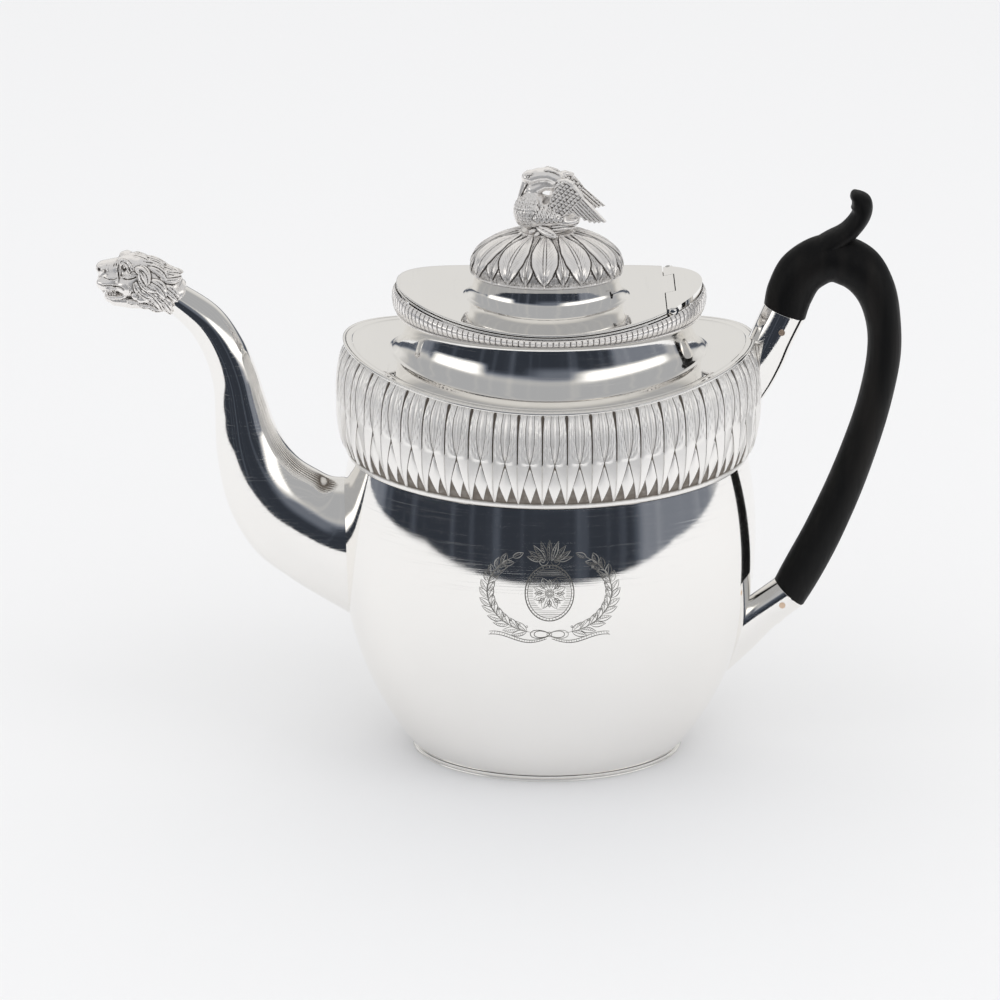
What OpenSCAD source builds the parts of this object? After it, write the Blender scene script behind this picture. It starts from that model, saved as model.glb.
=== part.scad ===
// Oval silver coffee pot with a hinged lid, lion spout and ebony handle.
// Origin at the centre of the foot on the table, +X to the handle, -X to the spout, +Z up.

/* [Body] */
// Half the length of the body at its widest
body_half = 80.8; // [79:0.1:82]
// Depth of every oval section as a share of its length
oval = 0.70; // [0.68:0.01:0.72]
// Height of the widest section of the body
belly_z = 88; // [87:0.1:89]
// Height of the body's curve above and below its widest section
belly_rise = 112.8; // [111:0.1:115]
// Height of the lower edge of the leaf band at the middle of the pot
band_z = 121.1; // [119:0.1:122.5]
// Thickness of the silver sheet
wall = 1.3; // [1:0.1:1.6]
// Half the length of the foot rim
foot_half = 52.6; // [51.5:0.1:53]
// Height of the foot rim
foot_h = 2.6; // [2.2:0.1:3]

/* [Shoulder and neck] */
// Half the length of the flat shoulder flange
flange_half = 77.4; // [76.8:0.1:77.8]
// Height of the flange at the middle of the pot
flange_z = 160.2; // [159:0.1:161]
// How much higher the flange is at its ends than at the middle
flange_dip = 10.2; // [9:0.1:11]
// How far the leaf band stands out at its fullest
band_bulge = 4.5; // [3.5:0.1:5]
// Half the length of the neck where it leaves the flange
neck_half = 61; // [59:0.1:63]
// Half the length of the neck at its throat
throat_half = 54.4; // [53.5:0.1:55]
// Height of the top of the neck
neck_z = 180.1; // [179:0.1:181]
// Half the length of the gadrooned rim at its fullest
gadroon_half = 59.9; // [59:0.1:60.5]
// Half the length of the opening in the mouth
mouth_half = 50; // [49.5:0.1:50.5]

/* [Lid] */
// Half the length of the lid plate
lid_half = 58.1; // [57.5:0.1:58.5]
// Height of the lid plate's top at the middle of the pot
lid_z = 185.6; // [185.4:0.1:186]
// How much higher the lid plate is at its ends than at the middle
lid_dip = 7.8; // [7.5:0.1:8]
// Distance from the middle of the pot to the hinge axis
hinge_x = 46.1; // [45.5:0.1:46.5]
// Radius of the hinge barrel
barrel_r = 2.1; // [2:0.05:2.2]
// Radius of the hinge pin
pin_r = 0.7; // [0.6:0.05:0.8]
// Length of the lid's own hinge knuckle
knuckle_len = 19.5; // [16:0.5:20]
// Distance of that knuckle's middle behind the middle of the pot
knuckle_y = 4.5; // [3:0.5:5]
// Half the length of the plain step that carries the leaf dome
step_half = 31.7; // [31:0.1:33]
// Half the length of the leaf dome at its fullest
dome_half = 29.5; // [29.1:0.1:30.3]
// Height of the top of the leaf dome
dome_z = 213.6; // [213.4:0.1:214]

/* [Spout and handle] */
// Thickness of the spout's wall
spout_wall = 1.2; // [0.9:0.1:1.4]
// Radius of each straining hole behind the spout
strain_r = 1.25; // [0.8:0.05:1.5]
// Radius of the two pins that hold the handle
handle_pin_r = 1.2; // [1:0.1:1.4]

/* [Hidden] */

silver = [0.80, 0.79, 0.77];
bright = [0.86, 0.85, 0.83];
ebony = [0.09, 0.08, 0.08];

// Facets of the large arcs, of the ovals and of small round things
arc_fn = 720;
oval_fn = 144;
round_fn = 48;
// Sides of an oval ring, of a tube's ring and of a small tube's ring
loft_n = 64;
tube_n = 24;
small_n = 20;
// Clearance between the lid and what it closes on
seat_gap = 0.3;
// Gap that solder fills between the gadrooned rim and what lies on it
solder_gap = 0.04;
// Running clearance in the hinge, and the gap that a knuckle turns in
pin_gap = 0.05;
turn_gap = 0.35;
// Longer than any cut has to be
far = 400;

// Thickness of the shoulder flange, and of the lid plate and the rim under it
plate_t = 1.2;
lid_t = 1.0;
// Radii and centre heights of the two boat-shaped surfaces, each a shallow arc along X
flange_arc = flange_half * flange_half / (2 * flange_dip);
flange_arc_z = flange_z + flange_arc;
lid_arc = lid_half * lid_half / (2 * lid_dip);
lid_arc_z = lid_z + lid_arc;
rim_arc = lid_arc + lid_t + seat_gap;
// The body's top edge rises a little towards its ends
edge_dip = 2.5;
edge_arc = flange_half * flange_half / (2 * edge_dip);
edge_arc_z = band_z + edge_arc;
// The hinge axis lies just under the top of the lid plate
hinge_depth = 1.1;
hinge_z = arc_z(lid_arc_z, lid_arc, hinge_x) - hinge_depth;
seam_x = hinge_x - barrel_r;
knuckle_a = knuckle_y - knuckle_len / 2;
knuckle_b = knuckle_y + knuckle_len / 2;
// Half the length of the whole hinge, and the gap between its knuckles
hinge_half = 24.5;
knuckle_gap = 0.12;
// The lid's dome sits a little towards the spout
dome_x = -1;
// Wall under the lid: half its length, its depth, and where it ends short of the hinge
bezel_half = 48.4;
bezel_h = 5;
bezel_end = 37;
// Heights of the step's top and of the nut inside the dome, and the finial's screw
step_z = 196;
nut_z = 206.5;
screw_r = 1.5;
thread_in = 0.6;
// Heights between which every upright cut through the flange or the lid lies
flange_low = 150;
lid_low = 170;
lid_high = 197;

// Height of an arc along X: centre height, radius, distance from the middle
function arc_z(zc, r, x) = zc - sqrt(r * r - x * x);
function mix(a, b, s) = a * (1 - s) + b * s;
function body_a(z) = body_half * sqrt(1 - pow((z - belly_z) / belly_rise, 2));
// Smooth path through stations: value at u, counted in stations
function smooth(p, u) =
  let (n = len(p) - 1, i = min(floor(u), n - 1), t = u - i,
    a = p[max(i - 1, 0)], b = p[i], c = p[i + 1], d = p[min(i + 2, n)])
  0.5 * (2 * b + (c - a) * t + (2 * a - 5 * b + 4 * c - d) * t * t
    + (3 * b - a - 3 * c + d) * t * t * t);

// Station moved along its own heading
function ahead(s, d) = [s[0] + d * cos(s[4]), s[1] + d * sin(s[4]), s[2], s[3], s[4]];

// Ring across a tube: station [x, z, half height, half width, heading]
function tube_ring(s, n, thinner = 0) = [
  for (j = [0:n - 1])
    let (f = 360 * j / n, h = (s[2] - thinner) * cos(f), w = (s[3] - thinner) * sin(f))
    [s[0] - sin(s[4]) * h, w, s[1] + cos(s[4]) * h]
];

// Side faces that join ring i to the next one, out of m rings of n points
function band_faces(i, m, n) = [
  for (j = [0:n - 1])
    let (a = i * n + j, b = i * n + (j + 1) % n, k = (i + 1) % m)
    each [[a, b, k * n + j], [b, k * n + (j + 1) % n, k * n + j]]
];

// Solid through open rings, with a flat cap at each end
module lofted(rings) {
  n = len(rings[0]);
  m = len(rings);
  polyhedron(
    [for (r = rings) each r],
    concat(
      [for (i = [0:m - 2]) each band_faces(i, m, n)],
      [[for (j = [n - 1:-1:0]) j], [for (j = [0:n - 1]) (m - 1) * n + j]]
    )
  );
}

// Solid whose rings close on themselves: up the outside of a wall and down its inside
module ring_solid(rings) {
  n = len(rings[0]);
  m = len(rings);
  polyhedron(
    [for (r = rings) each r],
    [for (i = [0:m - 1]) for (f = band_faces(i, m, n)) [f[2], f[1], f[0]]]
  );
}

// Tube through stations, made thinner all round by the given amount
module tube(stations, steps, thinner = 0, n = tube_n) {
  m = (len(stations) - 1) * steps;
  lofted([for (i = [0:m]) tube_ring(smooth(stations, i / steps), n, thinner)]);
}

// Short straight tube from a station, between two distances along its heading
module plug(station, from, to, thinner = 0, n = tube_n) {
  lofted([for (d = [from, to]) tube_ring(ahead(station, d), n, thinner)]);
}

// Upright oval prism
module oval_prism(a, low, high, grow = 0) {
  translate([0, 0, low])
    scale([a + grow, a * oval + grow, 1]) cylinder(r = 1, h = high - low, $fn = oval_fn);
}

// Long bar across the pot, round in section, with its axis along Y
module cross_bar(x, z, r, from = -far / 2, to = far / 2, sides = arc_fn) {
  translate([x, from, z]) rotate([-90, 0, 0]) cylinder(r = r, h = to - from, $fn = sides);
}

// Sheet between two arcs with one centre
module arc_sheet(zc, inner, outer) {
  difference() {
    cross_bar(0, zc, outer);
    cross_bar(0, zc, inner, -far, far);
  }
}

// Ellipsoid of the belly, made smaller all round by the given amount
module belly(thinner = 0) {
  translate([0, 0, belly_z])
    scale([body_half - thinner, body_half * oval - thinner, belly_rise - thinner])
      sphere(1, $fn = oval_fn);
}

// Ellipsoid with its three half sizes
module egg(x, y, z, sides = round_fn) {
  scale([x, y, z]) sphere(1, $fn = sides);
}

// Half space beyond a distance along X
module beyond(x) {
  translate([x, -far / 2, 0]) cube([far, far, far]);
}

// Body: -----------------------------------------------------------------------------

// Rows of straining holes in three columns, their spacing and the height of the lowest
strain_rows = 9;
strain_step = 4.6;
strain_low = 68;
// The holes are drilled along X through the spout's end of the wall
strain_from = -100;
strain_to = -60;

module body_shell() {
  color(bright) difference() {
    intersection() {
      belly();
      translate([-far / 2, -far / 2, foot_h]) cube([far, far, far]);
    }
    belly(wall);
    cross_bar(0, edge_arc_z, edge_arc);
    for (row = [0:strain_rows - 1], side = [-1:1])
      let (lift = side == 0 ? row : row + 0.5)
      translate([strain_from, side * strain_step, strain_low + lift * strain_step])
        rotate([0, 90, 0]) cylinder(r = strain_r, h = strain_to - strain_from, $fn = tube_n);
  }
}

// Flat bottom, soldered inside the body just above the foot
module base_plate() {
  color(silver) intersection() {
    belly(wall);
    translate([-far / 2, -far / 2, foot_h]) cube([far, far, wall]);
  }
}

// Flat oval ring of points
function oval_ring(a, b, z) = [
  for (j = [0:loft_n - 1]) [a * cos(360 * j / loft_n), b * sin(360 * j / loft_n), z]
];

// Reeded foot: a broad lower bead and a finer one above it
module foot_rim() {
  deep = 2.4;
  // For each layer, the share of the height where it ends and how far it stands out
  layers = [[0.15, 0.3], [0.45, 0.6], [0.55, -0.1], [0.65, 0.15], [0.85, 0.3], [1, -0.4]];
  color(bright) difference() {
    for (i = [0:len(layers) - 1])
      let (low = i == 0 ? -1 : layers[i - 1][0])
      oval_prism(foot_half, foot_h * low, foot_h * layers[i][0], layers[i][1]);
    oval_prism(foot_half, -far, far, -deep);
    // The underside is cut flat, to stand on a table
    translate([-far / 2, -far / 2, -far]) cube(far);
  }
}

// Shoulder: -------------------------------------------------------------------------

// Ring of the leaf band at share s of its height, thinner by the given amount
function band_ring(s, thinner) =
  let (set_in = 0.2,
    a = flange_half - set_in + band_bulge * (1 - pow(abs(2 * s - 1), 3)) - thinner,
    b = a * oval - thinner * (1 - oval))
  [for (j = [0:loft_n - 1])
    let (x = a * cos(360 * j / loft_n))
    [x, b * sin(360 * j / loft_n),
      mix(arc_z(edge_arc_z, edge_arc, x), arc_z(flange_arc_z, flange_arc + plate_t, x), s)]];

band_levels = [0, 0.06, 0.15, 0.3, 0.5, 0.7, 0.85, 0.94, 1];

module leaf_band() {
  n = len(band_levels);
  color(silver) ring_solid(concat(
    [for (i = [0:n - 1]) band_ring(band_levels[i], 0)],
    [for (i = [n - 1:-1:0]) band_ring(band_levels[i], wall)]
  ));
}

// The band as a full block, to trim what is fixed against it
module band_block() {
  lofted([for (i = [len(band_levels) - 1:-1:0]) band_ring(band_levels[i], 0)]);
}

// Ring that follows an arc along X: half length, arc's centre height and radius
function arc_ring(a, b, zc, r) = [
  for (j = [0:loft_n - 1])
    let (x = a * cos(360 * j / loft_n))
    [x, b * sin(360 * j / loft_n), arc_z(zc, r, x)]
];

// Flat oval ring of sheet, bent to an arc along X
module bent_ring(outer, inner, zc, top, thick) {
  middle = (outer + inner) / 2;
  ring_solid(concat(
    [for (a = [inner, middle, outer]) arc_ring(a, a * oval, zc, top + thick)],
    [for (a = [outer, middle, inner]) arc_ring(a, a * oval, zc, top)]
  ));
}

// Flat plate above the band, open under the neck
module shoulder_flange() {
  lap = 2.2;
  color(bright) bent_ring(flange_half, neck_half - lap, flange_arc_z, flange_arc, plate_t);
}

// Round wire along the flange's edge
wire_r = 0.7;

module flange_wire() {
  sides = 8;
  color(bright) ring_solid([
    for (i = [0:sides - 1])
      let (out = wire_r + wire_r * cos(360 * i / sides), up = wire_r * sin(360 * i / sides))
      arc_ring(flange_half + out, flange_half * oval + out, flange_arc_z, flange_arc + plate_t / 2 - up)
  ]);
}

// Neck: shares of its height, and how far out it stands there from throat to base
neck_curve = [
  [0, 1], [0.07, 0.78], [0.2, 0.5], [0.4, 0.24], [0.62, 0.06], [0.8, 0], [0.92, 0.12], [1, 0.38],
];

function neck_ring(p, thinner) =
  let (a = mix(throat_half, neck_half, p[1]) - thinner, b = a * oval - thinner * (1 - oval))
  [for (j = [0:loft_n - 1])
    let (x = a * cos(360 * j / loft_n))
    [x, b * sin(360 * j / loft_n), mix(arc_z(flange_arc_z, flange_arc, x), neck_z, p[0])]];

module neck_gallery() {
  n = len(neck_curve);
  color(bright) ring_solid(concat(
    [for (i = [0:n - 1]) neck_ring(neck_curve[i], 0)],
    [for (i = [n - 1:-1:0]) neck_ring(neck_curve[i], wall)]
  ));
}

// Gadrooned rim: a full round moulding, low in the middle of each side and tall at the ends
function gadroon_ring(s, a, b) = [
  for (j = [0:loft_n - 1])
    let (x = a * cos(360 * j / loft_n))
    [x, b * sin(360 * j / loft_n), mix(neck_z, arc_z(lid_arc_z, rim_arc + lid_t + solder_gap, x), s)]
];

module gadroon_rim() {
  // Shares of its height, and how far in from its fullest it stands there
  outline = [[0, -2.8], [0.18, -1], [0.4, -0.1], [0.6, 0], [0.82, -0.6], [1, -1.7]];
  lap = 0.4;
  inside = throat_half - lap - gadroon_half;
  color(silver) difference() {
    ring_solid([
      for (p = concat(outline, [[1, inside], [0, inside]]))
        gadroon_ring(p[0], gadroon_half + p[1], gadroon_half * oval + p[1])
    ]);
    hinge_bar(barrel_r + solder_gap, -hinge_half - knuckle_gap, hinge_half + knuckle_gap);
  }
}

// Hinge: ----------------------------------------------------------------------------

// Bar along the hinge axis
module hinge_bar(r, from = -far / 2, to = far / 2) {
  cross_bar(hinge_x, hinge_z, r, from, to, round_fn);
}

// Flat rim that the lid closes on, ending at the hinge
module mouth_rim() {
  color(bright) difference() {
    bent_ring(lid_half, mouth_half, lid_arc_z, rim_arc, lid_t);
    hinge_bar(barrel_r + turn_gap);
    beyond(hinge_x);
  }
}

// Part of an oval sheet that lies beyond the hinge axis
module beyond_hinge(inner, outer) {
  intersection() {
    arc_sheet(lid_arc_z, inner, outer);
    oval_prism(lid_half, lid_low, lid_high);
    beyond(hinge_x);
  }
}

// Fixed end of the top, with the rim's own end under it
module hinge_plate() {
  color(bright) {
    difference() {
      beyond_hinge(lid_arc, rim_arc);
      hinge_bar(barrel_r);
      hinge_bar(barrel_r + turn_gap, knuckle_a - knuckle_gap, knuckle_b + knuckle_gap);
    }
    difference() {
      beyond_hinge(rim_arc - seat_gap, rim_arc + lid_t);
      hinge_bar(barrel_r + turn_gap);
      oval_prism(mouth_half, lid_low - 1, lid_high + 1);
    }
  }
}

// Barrel between two distances along the hinge, flush with the lid plate and drilled for the pin
module knuckle(from, to, gap = 0) {
  difference() {
    hinge_bar(barrel_r, from, to);
    hinge_bar(pin_r + gap);
    cross_bar(0, lid_arc_z, lid_arc);
  }
}

module hinge_knuckles() {
  color(bright) {
    knuckle(-hinge_half, knuckle_a - knuckle_gap);
    knuckle(knuckle_b + knuckle_gap, hinge_half);
  }
}

module hinge_pin() {
  color(silver) hinge_bar(pin_r, -hinge_half, hinge_half);
}

module lid_knuckle() {
  color(bright) knuckle(knuckle_a, knuckle_b, pin_gap);
}

// Lid: ------------------------------------------------------------------------------

// How far the step laps over the edge of the hole in the lid plate
step_lap = 2.5;

module lid_plate() {
  color(bright) difference() {
    intersection() {
      arc_sheet(lid_arc_z, lid_arc, lid_arc + lid_t);
      oval_prism(lid_half, lid_low, lid_high);
    }
    translate([dome_x, 0, 0]) oval_prism(step_half - step_lap, lid_low - 1, lid_high + 1);
    beyond(hinge_x);
    hinge_bar(barrel_r, knuckle_a, knuckle_b);
    hinge_bar(barrel_r + turn_gap, -far / 2, knuckle_a);
    hinge_bar(barrel_r + turn_gap, knuckle_b, far / 2);
  }
}

// Wall under the lid that drops into the mouth, left open at the hinge
module lid_bezel() {
  color(bright) difference() {
    intersection() {
      arc_sheet(lid_arc_z, lid_arc + lid_t, lid_arc + lid_t + bezel_h);
      oval_prism(bezel_half, lid_low, lid_high);
    }
    oval_prism(bezel_half - lid_t, lid_low - 1, lid_high + 1);
    beyond(bezel_end);
  }
}

// Plain hollow step between the lid plate and the leaf dome
module lid_step() {
  // Starts below the plate, which its lower edge is cut to
  below = 0.6;
  inside = step_half - step_lap;
  outer = [
    [step_half, -below], [step_half, 2.4], [step_half - 1.4, 3.1], [29.2, 4.6], [28.3, 6.4],
    [27.6, 8.4], [27.8, step_z - lid_z],
  ];
  inner = [
    [26.6, step_z - lid_z], [26.4, 8.4], [27, 6.2], [27.9, 4.2], [inside, 2], [inside, -below],
  ];
  color(bright) difference() {
    translate([dome_x, 0, lid_z]) scale([1, oval, 1])
      rotate_extrude($fn = oval_fn) polygon(concat(outer, inner));
    difference() {
      translate([-far / 4, -far / 4, flange_low]) cube([far / 2, far / 2, step_z - flange_low - 5]);
      cross_bar(0, lid_arc_z, lid_arc);
    }
  }
}

// Cushion-shaped hollow dome, round the finial's screw at its top
module leaf_dome() {
  inside = 26.8;
  top = dome_z - step_z;
  outer = [
    [inside, 0], [dome_half - 1.3, 0], [dome_half - 0.4, 1], [dome_half, 3], [dome_half - 0.5, 6],
    [27.4, 9.2], [24.2, 12.2], [19, 15.1], [13, 16.9], [9, top], [screw_r, top],
  ];
  inner = [for (i = [len(outer) - 2:-1:3]) outer[i] + [-0.8, -wall]];
  color(silver) translate([dome_x, 0, step_z]) ring_solid([
    for (p = concat(outer, [[screw_r, top - wall]], inner, [[inside, wall]]))
      oval_ring(p[0], max(p[0] * oval, screw_r), p[1])
  ]);
}

// Bird: ------------------------------------------------------------------------------

// Every tube's stations are [x, z, half height, half width, heading]
bird_trunk = [
  [12, 216.4, 1.2, 2.6, 174], [9.5, 216.9, 2.6, 4.4, 174], [4, 218.4, 4.4, 6.2, 176], [-1, 219.3, 5.4, 6.8, 180],
  [-6, 219.4, 5, 6, 184], [-10.6, 219, 3.6, 4, 186], [-12.8, 218.8, 1.4, 1.8, 186],
];
bird_neck = [
  [-6.6, 217, 4.6, 4.6, 100], [-8.4, 221.5, 4, 3.8, 88], [-5.5, 227, 2.5, 2.3, 55], [-0.5, 232, 2.1, 2, 32],
  [0.9, 236, 1.9, 1.9, 108], [-3.2, 236.8, 2, 2, 182], [-6.9, 234.4, 2.6, 2.2, 226],
  [-9.2, 230.8, 1.6, 1.4, 250], [-10.2, 226.6, 0.8, 0.8, 262],
];
bird_wing = [
  [-3, 5.5, 3, 1.2, 30], [1, 9, 5.2, 1.4, 32], [5, 11.6, 6.2, 1.5, 12], [10, 11.2, 6, 1.4, -18],
  [15, 8.6, 4.7, 1.2, -30], [20, 5.4, 2.4, 0.8, -34], [22.4, 3.8, 0.9, 0.4, -34],
];
// Foot of each wing, and how far it spreads towards its tip
wing_place = [0, 3.2, 216.2];
wing_spread = 18;

module bird_finial() {
  foot_r = 8;
  foot_t = 1.6;
  color(silver) difference() {
    union() {
      translate([dome_x, 0, dome_z]) cylinder(r = foot_r, h = foot_t, $fn = round_fn);
      tube(bird_trunk, 2, n = small_n);
      tube(bird_neck, 3, n = small_n);
      for (side = [-1, 1])
        translate([wing_place[0], side * wing_place[1], wing_place[2]])
          rotate([0, 0, side * wing_spread]) tube(bird_wing, 2, n = small_n);
    }
    translate([dome_x, 0, dome_z - foot_t])
      cylinder(r = screw_r, h = foot_t + thread_in, $fn = round_fn);
  }
}

// Screw that stands up from the nut into the bird's foot
module finial_screw() {
  low = nut_z - 1;
  color(silver) translate([dome_x, 0, low])
    cylinder(r = screw_r, h = dome_z + thread_in - low, $fn = round_fn);
}

module finial_nut() {
  nut_r = 5;
  color(silver) difference() {
    translate([dome_x, 0, nut_z]) cylinder(r = nut_r, h = dome_z - wall - nut_z, $fn = 6);
    translate([dome_x, 0, nut_z - 1]) cylinder(r = screw_r, h = dome_z - nut_z, $fn = round_fn);
  }
}

// Spout: -----------------------------------------------------------------------------

spout_path = [
  [-70, 82.5, 31, 16.2, 180], [-84, 87, 25.6, 14.2, 176], [-95, 93.5, 23, 13.2, 166],
  [-105, 101.5, 21, 12.4, 155], [-112.4, 113.5, 17.7, 11.3, 142], [-116.6, 128, 13.6, 10, 126],
  [-118.3, 142, 10.4, 8.7, 108], [-120.2, 154, 8.9, 7.6, 107], [-124.2, 166, 8.1, 6.9, 114],
  [-131.2, 177.4, 7.3, 6.4, 132], [-142.2, 186.6, 5.9, 5.7, 152],
];
spout_steps = 3;
spout_last = len(spout_path) - 1;

// Bore of the spout, carried a little past both of its ends
module spout_bore() {
  past = 2;
  lofted([
    for (i = [-1:spout_steps * spout_last + 1])
      let (u = min(max(i / spout_steps, 0), spout_last), on = (i - u * spout_steps) * past)
      tube_ring(ahead(smooth(spout_path, u), on), tube_n, spout_wall)
  ]);
}

module spout() {
  color(bright) difference() {
    tube(spout_path, spout_steps);
    spout_bore();
    belly();
  }
}

// Lion's head on the end of the spout, with the pouring hole through its open mouth
lion_top = [
  [-140.4, 188, 6.6, 6.6, 150], [-144.5, 190.8, 9.6, 9.4, 156], [-149.5, 192.8, 10.6, 10.2, 168],
  [-155, 194.6, 8.8, 9, 174], [-160, 195, 7.4, 7.2, 180], [-166, 195.2, 5.4, 5.4, 184],
  [-170.5, 195, 3.6, 4.2, 188], [-172.2, 194.6, 2, 2.4, 188],
];
lion_jaw = [
  [-149, 187, 5.5, 7, 176], [-158, 186, 3.6, 4.8, 180], [-165, 185.8, 2.6, 4, 180],
  [-168.6, 186, 1.4, 2.6, 180],
];
// Round channel from the spout, then the slot between the jaws
channel = [-142, 188.4];
channel_r = 4;
mouth_len = 20;
mouth_size = [6.8, 4.4];
mouth_z = 188.6;
mouth_out = -176;

module lion_mask() {
  collar = spout_path[spout_last];
  collar_gap = 0.05;
  color(silver) difference() {
    union() {
      tube(lion_top, 2, n = small_n);
      tube(lion_jaw, 2, n = small_n);
    }
    plug(collar, -8, 1, -collar_gap, small_n);
    translate([channel[0], 0, channel[1]]) rotate([0, -90, 0])
      cylinder(r = channel_r, h = mouth_len, $fn = round_fn);
    translate([mouth_out, -mouth_size[0] / 2, mouth_z - mouth_size[1] / 2])
      cube([mouth_len, mouth_size[0], mouth_size[1]]);
  }
}

// Sockets and handle: ------------------------------------------------------------------

upper_socket_path = [
  [77.6, 143, 3, 2.6, 90], [79.2, 151, 6.4, 4.6, 88], [81.4, 160, 8.4, 6, 84],
  [85, 170, 8.4, 6.9, 74], [89.8, 181.2, 8.5, 7.2, 69],
];
lower_socket_path = [
  [64, 42, 13, 6, 34], [75, 48.5, 9.5, 6, 38], [84, 56.5, 8, 6.3, 42], [94.4, 64.9, 7.7, 6.8, 47],
];
socket_steps = 4;
socket_wall = 1.1;
// How deep the wood goes into each socket, and its clearance there
tenon_len = 12;
tenon_gap = 0.1;
// Places [x, z] of the two pins, and half their lengths
upper_pin = [88.4, 174.6];
upper_pin_half = 7.3;
lower_pin = [91.4, 61.6];
lower_pin_half = 6.9;

// Cylinder across the handle for a pin
module pin_bar(place, from = -far / 2, to = far / 2) {
  cross_bar(place[0], place[1], handle_pin_r, from, to, round_fn);
}

// Hollow for the wood in the end of a socket
module tenon_hole(path) {
  plug(path[len(path) - 1], -tenon_len, 1, socket_wall);
}

// Upper socket, cut to the band, the flange and its wire
module upper_socket() {
  wire_room = 2 * wire_r + 0.05;
  color(bright) difference() {
    tube(upper_socket_path, socket_steps);
    tenon_hole(upper_socket_path);
    band_block();
    difference() {
      oval_prism(flange_half, flange_low, lid_high, grow = wire_room);
      cross_bar(0, flange_arc_z, flange_arc);
    }
    pin_bar(upper_pin);
  }
}

module lower_socket() {
  color(bright) difference() {
    tube(lower_socket_path, socket_steps);
    tenon_hole(lower_socket_path);
    belly();
    pin_bar(lower_pin);
  }
}

// Grip: stations from the upper socket over the arch and down to the lower one
grip_path = [
  [89.8, 181.2, 8.5, 7.2, 69], [91.6, 188.5, 9, 7.4, 66], [96.2, 197, 9.4, 7.6, 47],
  [106, 202.2, 9.4, 7.7, 8], [117, 198.6, 9.2, 7.7, -38], [124.2, 189, 7.7, 7.6, -63],
  [127.6, 176, 6.6, 7.5, -82], [128, 162, 6.5, 7.4, -94], [125, 144, 6.5, 7.3, -104],
  [120.4, 127, 6.8, 7.2, -109], [114.4, 109, 7.2, 7.1, -111], [107, 90.6, 7.6, 7, -114],
  [100.6, 77, 7.8, 6.9, -118], [94.4, 64.9, 7.7, 6.8, -133],
];
// Thumb scroll that rises from the arch and curls forward
scroll_path = [
  [98, 202, 5.5, 6.6, 30], [106, 208, 4.6, 6.6, 26], [113, 213, 3.8, 6.4, 46],
  [117.6, 219.4, 3.7, 6, 72], [117.4, 224.4, 4.1, 5.6, 118], [114.6, 227.2, 2, 4.6, 158],
];

// One piece of wood, with a tenon at each end
module handle_grip() {
  thinner = socket_wall + tenon_gap;
  overlap = 0.5;
  color(ebony) difference() {
    union() {
      tube(grip_path, 3);
      tube(scroll_path, 3, n = small_n);
      plug(grip_path[0], -tenon_len, overlap, thinner);
      plug(grip_path[len(grip_path) - 1], -overlap, tenon_len, thinner);
    }
    pin_bar(upper_pin);
    pin_bar(lower_pin);
  }
}

module upper_socket_pin() {
  color(silver) pin_bar(upper_pin, -upper_pin_half, upper_pin_half);
}

module lower_socket_pin() {
  color(silver) pin_bar(lower_pin, -lower_pin_half, lower_pin_half);
}

body_shell();
base_plate();
foot_rim();
leaf_band();
shoulder_flange();
flange_wire();
neck_gallery();
gadroon_rim();
mouth_rim();
hinge_plate();
hinge_knuckles();
hinge_pin();
lid_plate();
lid_knuckle();
lid_bezel();
lid_step();
leaf_dome();
bird_finial();
finial_screw();
finial_nut();
spout();
lion_mask();
upper_socket();
lower_socket();
handle_grip();
upper_socket_pin();
lower_socket_pin();
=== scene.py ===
import math
import bpy
import numpy as np
import openvdb
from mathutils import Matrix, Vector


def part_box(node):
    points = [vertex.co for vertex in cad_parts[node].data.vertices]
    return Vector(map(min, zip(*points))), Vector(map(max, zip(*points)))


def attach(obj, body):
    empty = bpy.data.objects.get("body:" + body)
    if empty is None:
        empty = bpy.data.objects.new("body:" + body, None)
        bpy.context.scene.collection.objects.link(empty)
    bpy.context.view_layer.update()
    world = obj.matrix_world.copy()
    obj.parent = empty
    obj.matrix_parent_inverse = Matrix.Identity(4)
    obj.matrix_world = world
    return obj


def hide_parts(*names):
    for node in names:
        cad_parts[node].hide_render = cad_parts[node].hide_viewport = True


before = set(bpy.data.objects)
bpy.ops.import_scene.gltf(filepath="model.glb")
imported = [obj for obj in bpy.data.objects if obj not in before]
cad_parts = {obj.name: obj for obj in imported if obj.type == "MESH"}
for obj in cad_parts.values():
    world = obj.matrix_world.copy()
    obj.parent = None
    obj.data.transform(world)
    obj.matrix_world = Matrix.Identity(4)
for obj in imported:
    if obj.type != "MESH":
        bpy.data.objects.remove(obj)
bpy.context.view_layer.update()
scene = bpy.context.scene
mm = 0.001

# ---- Studio ----------------------------------------------------------------------------
# A pale table seen from a little above. Bright silver shows the room it stands in: two low
# soft boxes left and right of the camera, the unlit room between them, a pale ceiling above.
camera_place = (-0.01867, -1.52442, 0.71916)
camera_tilt = math.radians(68)
camera_lens = 152.64
reach = 6.0
table_edge = [
    (-reach, 3.0), (-0.85, 0.11), (-0.55, -0.16), (-0.38, -0.29), (0.40, -0.29), (1.08, -0.03), (reach, 2.0),
]
table_colour = (0.87, 0.87, 0.875, 1)


def add(tree, kind, values=None, **settings):
    """Node of a kind in a tree, with its settings, and its inputs set or joined to sockets."""
    made = tree.nodes.new(kind)
    for setting, value in settings.items():
        setattr(made, setting, value)
    for key, value in (values or {}).items():
        socket = made.inputs[key]
        if isinstance(value, bpy.types.NodeSocket):
            tree.links.new(value, socket)
        else:
            socket.default_value = value
    return made


def result(tree, kind, values=None, **settings):
    """First output of a new node."""
    return add(tree, kind, values, **settings).outputs[0]


def calculate(tree, operation, *values):
    """Output of a Math node on numbers or sockets."""
    return result(tree, "ShaderNodeMath", dict(enumerate(values)), operation=operation)


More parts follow.
